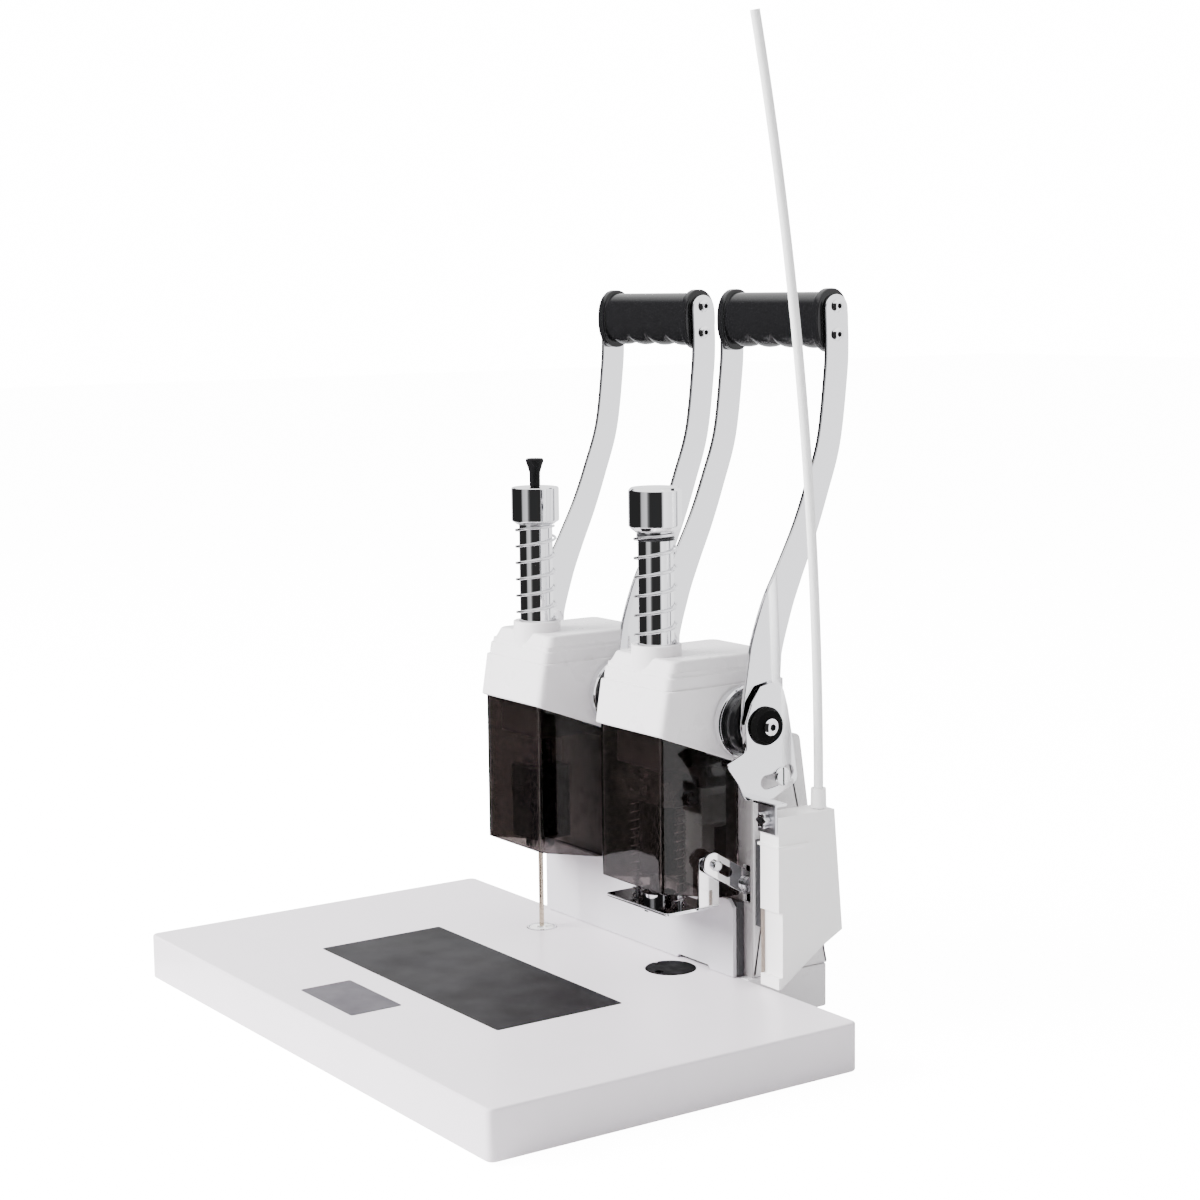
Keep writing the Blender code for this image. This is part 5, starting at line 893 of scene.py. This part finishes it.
CAPS = {"drill": (DRILL, TOP + 0.2408, 0.0216, 0.0032, 0.1265, "drill_quill"),
        "press": (PRESS, TOP + 0.2453, 0.0243, 0, 0.1405, "press_quill")}
for word, (axis, cap_low, cap_height, bore, column_low, body) in CAPS.items():
    centre = (axis[0], axis[1], cap_low)
    piece(word + "_chromed_column", column_solid(axis, column_low, cap_low + 0.0097), chrome, body,
          [word + "_column"])
    top = cap_height
    if bore:
        line = ((0.01005, 0), (0.0112, 0), (0.0116, 0.0006), (0.01385, 0.0020), (0.01385, top),
                (bore, top), (bore, 0.010), (0.01005, 0.010))
        cap = turned(line, centre, soft=0.0012)
        cuts = ()
    else:
        line = ((0, 0), (0.0113, 0), (0.0113, 0.0006), (0.0127, 0.0012), (0.0146, 0.0034),
                (0.0146, top - 0.0016), (0.0132, top), (0, top))
        cap = turned(line, centre, soft=0.0013)
        thread = [(0.0093, -0.0046)]
        thread += [(0.0100 if k % 2 else 0.0106, -0.0044 + 0.00055 * k) for k in range(8)]
        thread += [(0.0093, -0.0001)]
        piece("press_thread", turned(thread, centre), dark_steel, body)
        cuts = [turned(((0, -0.01), (0.01005, -0.01), (0.01005, 0.010), (0, 0.010)), centre)]
    piece(word + "_plated_cap", cap, chrome, body, [word + "_cap"], cutters=cuts)
    path = coil(axis, 0.0114, COLLAR_TOP + 0.0001, cap_low - 0.0001, 6, 0.0008)
    spring = piece(word + "_coil_spring", swept(path, 0.0008, 14), wire_steel, body,
                   [word + "_return_spring"], sharp=60)
    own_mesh(spring)

# Drill
# The chuck and hollow drill below the motor, and the black clearing rod whose knob stands on top.
# Each is turned from bar; profiles are (radius, height above the worktop).
ROD_TIP = 0.0003 + 0.012 + 0.0005
piece("chuck", turned(((0.00175, 0.0475), (0.0052, 0.0475), (0.0078, 0.0501), (0.0078, 0.0560),
                       (0.0055, 0.0560), (0.0055, 0.0945), (0.00175, 0.0945)), DRILL, soft=0.0004),
      chrome, "drill_spindle", ["drill_chuck"])
piece("hollow_drill", turned(((0.00085, 0.0003), (0.00112, 0.0003), (0.00145, 0.0010), (0.00145, 0.0565),
                              (0.00085, 0.0565)), DRILL, steps=48), bronze, "drill_spindle",
      ["drill_bit"])
knob = 0.2408 + 0.0216
piece("rod_and_knob", turned(((0, ROD_TIP), (0.00055, ROD_TIP), (0.00055, 0.2388), (0.0027, 0.2415),
                              (0.0027, knob + 0.0004), (0.0031, knob + 0.0006), (0.0032, knob + 0.0082),
                              (0.0040, knob + 0.0110), (0.0052, knob + 0.0146), (0.0052, knob + 0.0158),
                              (0.0046, knob + 0.0165), (0, knob + 0.0165)), DRILL, steps=64, soft=0.0003),
      satin_black, "rod_knob", ["clearing_rod"])

# Presser foot
# A mirror-plated plate with the punch hole, hung on two rods, and an upright tab at its right end
# whose pin runs in the slotted link.
FOOT_LOW = TOP + 0.040
FOOT_HIGH = FOOT_LOW + 0.002
FOOT_X = (PRESS[0] - 0.0287, PRESS[0] + 0.0318)
FOOT_Y = (AXIS_Y - 0.016, AXIS_Y + 0.016)
PIN = np.array((FOOT_X[1], AXIS_Y + 0.0129, TOP + 0.0655))
TAB_Y = (PIN[1] - 0.0068 - 0.002, PIN[1] + 0.0068 - 0.002)


def merge(*solids):
    verts, faces, base = [], [], 0
    for points, sides in solids:
        verts.append(points)
        faces += [[v + base for v in side] for side in sides]
        base += len(points)
    return np.concatenate(verts), faces


foot_line = fillet(((FOOT_X[0], FOOT_Y[0]), (FOOT_X[1] - 0.002, FOOT_Y[0]),
                    (FOOT_X[1] - 0.002, FOOT_Y[1]), (FOOT_X[0], FOOT_Y[1])), 0.0025)
tab_line = fillet(((TAB_Y[0], FOOT_LOW + 0.0025), (TAB_Y[1], FOOT_LOW + 0.0025), (TAB_Y[1], TOP + 0.0703),
                   (TAB_Y[0], TOP + 0.0703)), [0, 0, 0.004, 0.004])
bend = [(FOOT_X[1] - 0.0035, FOOT_LOW)]
bend += [(FOOT_X[1] - 0.0035 + 0.0035 * math.sin(t),
          FOOT_LOW + 0.0035 - 0.0035 * math.cos(t)) for t in np.linspace(0, math.pi / 2, 9)[1:]]
bend += [(FOOT_X[1] - 0.002 - 0.0015 * (1 - math.cos(t)),
          FOOT_LOW + 0.0035 - 0.0015 * math.sin(t)) for t in np.linspace(0, math.pi / 2, 6)]
piece("foot_plate", merge(plate(foot_line, "Z", FOOT_LOW, FOOT_HIGH, 0.0005),
                          plate(tab_line, "X", FOOT_X[1] - 0.002, FOOT_X[1], 0.0003),
                          plate(np.array(bend), "Y", TAB_Y[0], TAB_Y[1], 0)), foot_chrome_painted_reflection,
      "foot", ["presser_foot"], cutters=[turned(((0, -0.004), (0.0089, -0.004), (0.0089, 0.006),
                                                 (0, 0.006)), (PRESS[0], AXIS_Y, FOOT_LOW))])
rods = []
for side in (-1, 1):
    rods.append(turned(((0, 0.0412), (0.0016, 0.0412), (0.0016, 0.1128), (0.0032, 0.1128),
                        (0.0032, 0.1158), (0, 0.1158)), PRESS + (side * 0.0195, 0, 0), steps=40,
                       soft=0.0002))
rods.append(turned(((0, -0.001), (0.0015, -0.001), (0.0015, 0.0044), (0.0030, 0.0044), (0.0030, 0.0054),
                    (0.0022, 0.0058), (0, 0.0058)), PIN, "X", 40, 0.0002))
piece("foot_rods", merge(*rods), steel, "foot")
for side, word in ((-1, "left"), (1, "right")):
    path = coil(PRESS + (side * 0.0195, 0, 0), 0.0029, FOOT_HIGH + 0.0001, TOP + 0.0985 - 0.0001, 12,
                0.0004, 28)
    spring = piece("foot_coil_" + word, swept(path, 0.0004, 10), wire_steel, "foot",
                   ["foot_spring_" + word], sharp=60)
    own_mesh(spring)
piece("heater_and_punch", turned(((0, 0.0455), (0.0021, 0.0445), (0.0040, 0.0445), (0.0042, 0.0447),
                                  (0.0042, 0.0575), (0.0082, 0.0575), (0.0095, 0.0588), (0.0095, 0.0982),
                                  (0, 0.0982)), PRESS, soft=0.0003), dark_steel, "press_quill",
      ["press_heater"])

# Slotted link
# A plated link with a long slot, stamped from sheet and hinged inside the column cover. The pin
# of the presser foot's tab runs in the slot.
LINK_TURN = math.radians(31.2)
HINGE = np.array((PIN[0] + 0.0023, PIN[1] + 0.0251 * math.cos(LINK_TURN),
                  PIN[2] - 0.0251 * math.sin(LINK_TURN)))


def capsule(start, end, radius, turn=math.pi - LINK_TURN, centre=(HINGE[1], HINGE[2]), steps=17):
    """Outline of a long round-ended shape along the link, from one distance to another."""
    one = np.linspace(turn + math.pi / 2, turn + 3 * math.pi / 2, steps)
    two = np.linspace(turn - math.pi / 2, turn + math.pi / 2, steps)
    y = np.concatenate([start * math.cos(turn) + radius * np.cos(one),
                        end * math.cos(turn) + radius * np.cos(two)])
    z = np.concatenate([start * math.sin(turn) + radius * np.sin(one),
                        end * math.sin(turn) + radius * np.sin(two)])
    return np.stack([centre[0] + y, centre[1] + z], -1)


piece("plated_link", plate(capsule(0, 0.0276, 0.0062), "X", HINGE[0], HINGE[0] + 0.0018, 0.0003), chrome,
      "link", ["slotted_link"], cutters=[plate(capsule(0.0158, 0.0276, 0.0027), "X",
                                                         HINGE[0] - 0.004, HINGE[0] + 0.004, 0),
                                                   turned(((0, -0.004), (0.0025, -0.004), (0.0025, 0.004),
                                                           (0, 0.004)), HINGE, "X", 32)])

# Lever handles
# Bent chromed side plates, ring-and-disc hubs beside the heads, black grips with flanged ends and
# four finger bumps, and screws with a six-sided recess.
ARM_OFFSET = 0.0462
ARM_HALF = 0.00125
REACH = 0.2215
ARM_SHARES = np.array(((0.0, 0.0, 0.056), (0.014, 0.151, 0.0500), (0.051, 0.275, 0.0470),
                       (0.093, 0.365, 0.0410), (0.139, 0.460, 0.0375), (0.178, 0.558, 0.0360),
                       (0.2185, 0.678, 0.0352), (0.240, 0.834, 0.0352), (0.2445, 0.912, 0.0352),
                       (0.2415, 1.0, 0.0352)))
GRIP = np.array((0.0530, 0.2153))
GRIP_DEPTH = 0.0113
GRIP_HEIGHT = 0.0173
GRIP_SQUARE = 0.88
BUMPS = 4
BUMP_DEEP = 0.0040
BUMP_ROUND = 0.45
SHAFT_HOLE = 0.0063


def smooth_line(points, count):
    """A Catmull-Rom curve through the points."""
    points = np.asarray(points, float)
    padded = np.vstack([2 * points[0] - points[1], points, 2 * points[-1] - points[-2]])
    made = []
    for i in range(len(points) - 1):
        a, b, c, d = padded[i:i + 4]
        t = np.linspace(0, 1, count, endpoint=False)[:, None]
        made.append(0.5 * (2 * b + (c - a) * t + (2 * a - 5 * b + 4 * c - d) * t ** 2
                           + (3 * b - a - 3 * c + d) * t ** 3))
    return np.vstack(made + [points[-1:]])


def arm_line():
    """Side outline of an arm: its spine with a half width to each side, an eye and a round top."""
    spine = smooth_line(ARM_SHARES, 10)[9:] * REACH
    ahead = np.gradient(spine[:, :2], axis=0)
    ahead /= np.linalg.norm(ahead, axis=1, keepdims=True)
    out = np.stack([ahead[:, 1], -ahead[:, 0]], -1) * spine[:, 2:]
    right, left = spine[:, :2] + out, spine[:, :2] - out
    top = np.linspace(math.radians(10), math.radians(170), 15)
    eye = np.linspace(math.radians(168), math.radians(372), 41)
    cap = spine[-1, :2] + spine[-1, 2] * np.stack([np.cos(top), np.sin(top)], -1)
    low = 0.0132 * np.stack([np.cos(eye), np.sin(eye)], -1)
    return np.vstack([low, right[3:], cap, left[::-1][:-3]]) + (LEVER_Y, LEVER_Z)


def grip_solid(x):
    """The grip as sections across X: an oval, narrower between its flanges, its underside waved."""
    end = ARM_OFFSET - ARM_HALF - GAP
    inner = end - 0.0058
    xs, waist = [], []
    for px, w in ((-end, 0.0010), (-end + 0.0004, 0.0003), (-end + 0.0011, 0), (-inner - 0.0011, 0),
                  (-inner - 0.0004, 0.0003), (-inner, 0.0009), (-inner + 0.0002, 0.0018)):
        xs.append(px)
        waist.append(w)
    middle = np.linspace(-inner + 0.0006, inner - 0.0006, 97)
    xs = np.array(xs + list(middle) + [-v for v in xs[::-1]])
    waist = np.array(waist + [0.0020] * len(middle) + waist[::-1])
    wave = np.abs(np.sin(math.pi * BUMPS * (xs + inner) / (2 * inner))) ** BUMP_ROUND
    lift = np.where(np.abs(xs) < inner, BUMP_DEEP * (1 - wave), 0.0)
    turn = np.linspace(0, 2 * math.pi, 72, endpoint=False)
    c, s = np.cos(turn), np.sin(turn)
    c, s = np.sign(c) * np.abs(c) ** GRIP_SQUARE, np.sign(s) * np.abs(s) ** GRIP_SQUARE
    rings = []
    for px, w, up in zip(xs, waist, lift):
        a = (GRIP_DEPTH - w) * c
        b = (GRIP_HEIGHT - w) * s
        b = np.where(b < 0, b * (1 - up / GRIP_HEIGHT), b)
        rings.append(along("X", a + LEVER_Y + GRIP[0], b + LEVER_Z + GRIP[1], px + x))
    return skin(rings)


def screw(name, centre, side, radius, height, body):
    """A domed screw head facing along X, with a six-sided recess whose floor is a black sheet: painted shade
    in the recess.
    """
    line = ((0, 0), (radius, 0), (radius * 0.98, height * 0.45), (radius * 0.72, height * 0.86),
            (radius * 0.45, height), (0, height))
    line = [(r, side * h) for r, h in line]
    turn = np.arange(6) * math.pi / 3 + 0.3
    hexagon = np.stack([centre[1] + radius * 0.44 * np.cos(turn),
                        centre[2] + radius * 0.44 * np.sin(turn)], -1)
    low, floor, high = (centre[0] + side * height * part for part in (0.3, 0.36, 1.5))
    piece(name, turned(line, centre, "X", 40), chrome, body,
          cutters=[plate(hexagon, "X", *sorted((low, high)), 0)])
    # The black sheet on the recess floor is painted shade.
    piece(name + "_recess", plate(shrink(hexagon, 0.00002), "X", *sorted((low + side * 0.00002, floor)),
                                  0), satin_black, body)


arm = arm_line()
for word, x, body in (("drill", DRILL[0], "drill_handle"), ("press", PRESS[0], "press_handle")):
    lever = np.array((x, LEVER_Y, LEVER_Z))
    for side, hand in ((-1, "left"), (1, "right")):
        middle = x + side * ARM_OFFSET
        piece(f"{word}_lever_arm_{hand}", plate(arm, "X", middle - ARM_HALF, middle + ARM_HALF, 0.0006),
              chrome, body, [f"{word}_arm_{hand}"],
              cutters=[turned(((0, -0.004), (SHAFT_HOLE, -0.004), (SHAFT_HOLE, 0.004), (0, 0.004)),
                              (middle, LEVER_Y, LEVER_Z), "X", 48)])
        ring = [(SHAFT_HOLE, 0.0323), (0.0178, 0.0323), (0.0205, 0.0330), (0.0205, 0.0372),
                (0.0195, 0.0378), (SHAFT_HOLE, 0.0378)]
        disc = [(SHAFT_HOLE, 0.0379), (0.0175, 0.0379), (0.0175, 0.0425), (0.0160, 0.0440),
                (0.0110, 0.0446), (SHAFT_HOLE, 0.0446)]
        piece(f"{word}_hub_ring_{hand}", turned([(r, side * h) for r, h in ring], lever, "X",
                                                soft=0.0004), chrome, body,
              [f"{word}_hub_{hand}"])
        piece(f"{word}_hub_disc_{hand}", turned([(r, side * h) for r, h in disc], lever, "X",
                                                soft=0.0004), black, body)
        for k, rise in enumerate((-0.0076, 0.0076)):
            place = (middle + side * (ARM_HALF + 0.0001), LEVER_Y + GRIP[0] + 0.0007,
                     LEVER_Z + GRIP[1] + rise)
            screw(f"{word}_grip_screw_{hand}_{k}", place, side, 0.0036, 0.0019, body)
        if not (word == "press" and side == 1):
            screw(f"{word}_shaft_screw_{hand}", (middle + side * (ARM_HALF + 0.0001), LEVER_Y, LEVER_Z),
                  side, 0.0060, 0.0024, body)
    piece(word + "_hand_grip", grip_solid(x), black, body, [word + "_grip"], sharp=50)

# Cutter lever
# The plated plate on the press lever's axis: a black bush, a fixed shoulder screw in its arc slot,
# and a ledge whose tab hangs into the cutter box with a star-headed screw.
PLATE_X = PRESS[0] + 0.0501
SHEET = 0.0015
CUT_REACH = 0.0400
CUT_SHARES = np.array(((-0.060, 0.5325), (-0.220, 0.320), (-0.3325, 0.0425), (-0.310, -0.3225),
                       (-0.6525, -0.470), (-0.455, -0.7375), (-0.330, -0.9875), (0.1325, -1.020),
                       (0.2875, -0.945), (0.5675, -0.815), (0.4625, -0.140), (0.395, 0.225),
                       (0.3325, 0.4375), (0.245, 0.590)))
CUT_ROUND = [0.0025, 0.004, 0.006, 0.004, 0.0022, 0.005, 0.004, 0.002, 0.004, 0.005, 0.02, 0.012, 0.005,
             0.0025]
cut_line = fillet(CUT_SHARES * CUT_REACH + (LEVER_Y, LEVER_Z), CUT_ROUND, steps=8)
ledge_z = LEVER_Z - 1.020 * CUT_REACH
BOX_FRONT = 0.07445
ledge_y = BOX_FRONT - 0.0005
ledge_right = PLATE_X + 0.0185 + SHEET
slot_turn = np.linspace(math.radians(1.5), math.radians(30.5), 17) - math.pi / 2
slot_line = np.concatenate([0.027 * np.stack([np.cos(slot_turn), np.sin(slot_turn)], -1),
                            0.031 * np.array((math.cos(slot_turn[-1]),
                                              math.sin(slot_turn[-1])))
                            + 0.004 * np.stack([np.cos(np.linspace(slot_turn[-1] + math.pi, slot_turn[-1],
                                                                   9)[1:-1]),
                                                np.sin(np.linspace(slot_turn[-1] + math.pi, slot_turn[-1],
                                                                   9)[1:-1])], -1),
                            0.035 * np.stack([np.cos(slot_turn[::-1]), np.sin(slot_turn[::-1])], -1),
                            0.031 * np.array((math.cos(slot_turn[0]),
                                              math.sin(slot_turn[0])))
                            + 0.004 * np.stack([np.cos(np.linspace(slot_turn[0], slot_turn[0] - math.pi,
                                                                   9)[1:-1]),
                                                np.sin(np.linspace(slot_turn[0], slot_turn[0] - math.pi,
                                                                   9)[1:-1])], -1),]) + (LEVER_Y, LEVER_Z)
flange = [np.array(s) * CUT_REACH + (LEVER_Y, LEVER_Z) for s in ((-0.3325, 0.0425), (-0.310, -0.3225))]
flange_line = fillet((flange[0], flange[1], flange[1] + (SHEET, 0), flange[0] + (SHEET, 0)), 0.0004)
tab = slab((ledge_right - 0.0150, ledge_y, ledge_z - 0.0150),
           (ledge_right, ledge_y + SHEET, ledge_z + SHEET), 0.0004, 0.0003)
piece("cutter_plate", merge(plate(cut_line, "X", PLATE_X, PLATE_X + SHEET, 0.0004),
                            slab((PLATE_X + 0.0003, ledge_y, ledge_z),
                                 (ledge_right, ledge_y + 0.0085, ledge_z + SHEET), 0.0012, 0.0003),
                            plate(flange_line, "X", PLATE_X - 0.0019, PLATE_X + 0.0008, 0.0003)), chrome,
      "cutter_plate", ["cutter_lever"], cutters=[plate(slot_line, "X", PLATE_X - 0.003,
                                                                 PLATE_X + 0.004, 0),
                                                           turned(((0, -0.003), (0.0063, -0.003),
                                                                   (0.0063, 0.004), (0, 0.004)),
                                                                  (PLATE_X, LEVER_Y, LEVER_Z), "X", 48)])
piece("cutter_tab", tab, satin, "cutter_plate")
bush_x = PLATE_X + SHEET + GAP
shaft_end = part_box("press_lever_shaft")[1][0] - bush_x
lip = shaft_end + 0.0004
piece("bush", turned(((0.0063, 0), (0.0105, 0), (0.0105, 0.0012), (0.0088, lip + 0.0012),
                      (0.0030, lip + 0.0012), (0.0030, lip), (0.0063, lip)), (bush_x, LEVER_Y, LEVER_Z),
                     "X", soft=0.0004), anvil_black, "cutter_plate", ["cutter_bush"])
screw("pivot_screw", (bush_x + lip + 0.0013, LEVER_Y, LEVER_Z), 1, 0.0047, 0.0024, "press_handle")
post = np.array((bush_x - GAP, LEVER_Y + 0.031 * math.sin(math.radians(21)),
                 LEVER_Z - 0.031 * math.cos(math.radians(21))))
piece("shoulder_post", turned(((0, 0.09785 - post[0]), (0.0034, 0.09785 - post[0]), (0.0034, 0.0003),
                               (0.0051, 0.0003), (0.0051, 0.0014), (0.0043, 0.0021), (0, 0.0021)), post,
                              "X", 64, 0.0003), chrome, "root", ["cutter_post"],
      cutters=[box(post + (0.0012, -0.0006, -0.006), post + (0.004, 0.0006, 0.006))])
star_z = ledge_z - 0.0075
star_x = ledge_right - 0.0075
turn = np.linspace(0, 2 * math.pi, 72, endpoint=False)
star_radius = 0.0040 + 0.0006 * np.cos(6 * turn)
star_line = np.stack([star_x + star_radius * np.cos(turn), star_z + star_radius * np.sin(turn)], -1)
piece("star_screw", plate(star_line, "Y", ledge_y - 0.0040, ledge_y - 0.0001, 0.0007), steel,
      "cutter_plate")
# A black disc on the star screw's face: painted shade of its recess.
piece("star_recess_painted_shade", turned(((0, -0.0043), (0.0019, -0.0043), (0.0019, -0.0039), (0, -0.0039)),
                            (star_x, ledge_y, star_z), "Y", 24), satin_black,
      "cutter_plate")

# Cutter box and rivet tube
# The white moulded box that the tube stands in: a window at the front with a sloping chute behind,
# a notch for the cutter's tab and a round sleeve on top.
BOX_X = (0.1098, 0.1283)
BOX_TOP = TOP + 0.0973
BOX_WALL = 0.0014
box_line = fillet(((BOX_FRONT, TOP + GAP), (BOARD_Y[1], TOP + GAP), (BOX_FRONT + 0.0308, TOP + 0.0192),
                   (BOX_FRONT + 0.0470, TOP + 0.0275), (BOX_FRONT + 0.0412, BOX_TOP),
                   (BOX_FRONT, BOX_TOP)), [0.0004, 0.0004, 0.004, 0.003, 0.0025, 0.0006])
hollow = shrink(np.array(((BOX_FRONT, TOP + GAP), (BOARD_Y[1], TOP + GAP),
                          (BOX_FRONT + 0.0308, TOP + 0.0192), (BOX_FRONT + 0.0470, TOP + 0.0275),
                          (BOX_FRONT + 0.0412, BOX_TOP), (BOX_FRONT, BOX_TOP))), BOX_WALL)
notch_back = BOX_FRONT + 0.0215
notch_low = BOX_TOP - 0.0170
TUBE = np.array((BOX_X[1] - 0.0069, BOX_FRONT + 0.0333, BOX_TOP))
piece("cutter_box", plate(box_line, "X", *BOX_X, 0.0011, 4), box_white_painted_glow, "root",
      ["tube_box"], cutters=[plate(hollow, "X", BOX_X[0] + BOX_WALL, BOX_X[1] - BOX_WALL, 0),
                             box((BOX_X[0] - 0.004, BOX_FRONT - 0.004, notch_low),
                                 (BOX_X[1] - BOX_WALL, notch_back, BOX_TOP + 0.004)),
                             box((BOX_X[0] + BOX_WALL, BOX_FRONT - 0.004, TOP + 0.008),
                                 (BOX_X[1] - BOX_WALL, BOX_FRONT + 0.004, TOP + 0.0438)),
                             turned(((0, -0.004), (0.0031, -0.004), (0.0031, 0.004), (0, 0.004)), TUBE,
                                    steps=48)])
piece("notch_shelf", slab((BOX_X[0] + 0.0002, BOX_FRONT + 0.0002, notch_low - BOX_WALL),
                          (BOX_X[1] - 0.0002, notch_back, notch_low), 0.0003, 0.0002), box_white_painted_glow,
      "root")
# A thin tan sheet just inside the box's left wall: painted shade of the box's inside, seen through the
# window.
piece("box_inner_painted_shade", plate(shrink(hollow, 0.0002), "X", BOX_X[0] + BOX_WALL + 0.00005,
                          BOX_X[0] + BOX_WALL + 0.0003, 0), tan, "root",
      cutters=[box((BOX_X[0], BOX_FRONT - 0.004, notch_low - BOX_WALL),
                   (BOX_X[1], notch_back, BOX_TOP + 0.004))])
piece("sleeve", turned(((0.0031, -0.0003), (0.0046, -0.0003), (0.0043, 0.0006), (0.0041, 0.0102),
                        (0.0031, 0.0102)), TUBE, steps=64, soft=0.0003), box_white_painted_glow,
      "root")


def tube_path():
    """Straight up through the sleeve, then a long even bend towards the front."""
    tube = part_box("rivet_tube")
    low = tube[0][2]
    bend_low = BOX_TOP + 0.0102
    turn = (0.490 - (bend_low - low)) / 2.02
    step = np.linspace(0, turn, 60)
    straight = np.linspace(low, bend_low, 12)[:-1]
    lower = np.stack([np.full(11, TUBE[0]), np.full(11, TUBE[1]), straight], -1)
    upper = np.stack([np.full(60, TUBE[0]), TUBE[1] - 2.02 * (1 - np.cos(step)),
                      bend_low + 2.02 * np.sin(step)], -1)
    return np.vstack([lower, upper])


def pipe(path, outer, inner, sides=40):
    """A tube with a bore along a path in the plane across X."""
    ahead = np.gradient(path, axis=0)
    ahead /= np.linalg.norm(ahead, axis=1, keepdims=True)
    up = np.cross(ahead, (1, 0, 0))
    angle = np.linspace(0, 2 * math.pi, sides, endpoint=False)
    rings = []
    for radius, order in ((outer, slice(None)), (inner, slice(None, None, -1))):
        for point, other in zip(path[order], up[order]):
            rings.append(point + radius * (np.outer(np.cos(angle), (1, 0, 0)) + np.outer(np.sin(angle),
                    other)))
    return skin(rings, loop=True)


piece("rivet_stock", pipe(tube_path(), 0.0026, 0.0014), nylon, "tube", ["rivet_tube"], sharp=50)

# Mains inlet and switch
# A black bezel on the cover's back, round a three-pin socket and a rocker. The socket's body and
# the rocker are the frame's own nodes.
SIDE = 0.0145
bezel = plate(fillet(((-0.025, -0.01375), (0.025, -0.01375), (0.025, 0.01375), (-0.025, 0.01375)), 0.002),
              "Y", GAP, 0.002, 0.0005)
piece("inlet_bezel", on_back(bezel), satin_black, "root",
      cutters=[on_back(box((-SIDE + 0.004 - 0.01175, -0.01, -0.00825),
                           (-SIDE + 0.004 + 0.01175, 0.01, 0.00825))),
               on_back(box((SIDE - 0.00675, -0.01, -0.010), (SIDE + 0.00675, 0.01, 0.010)))])
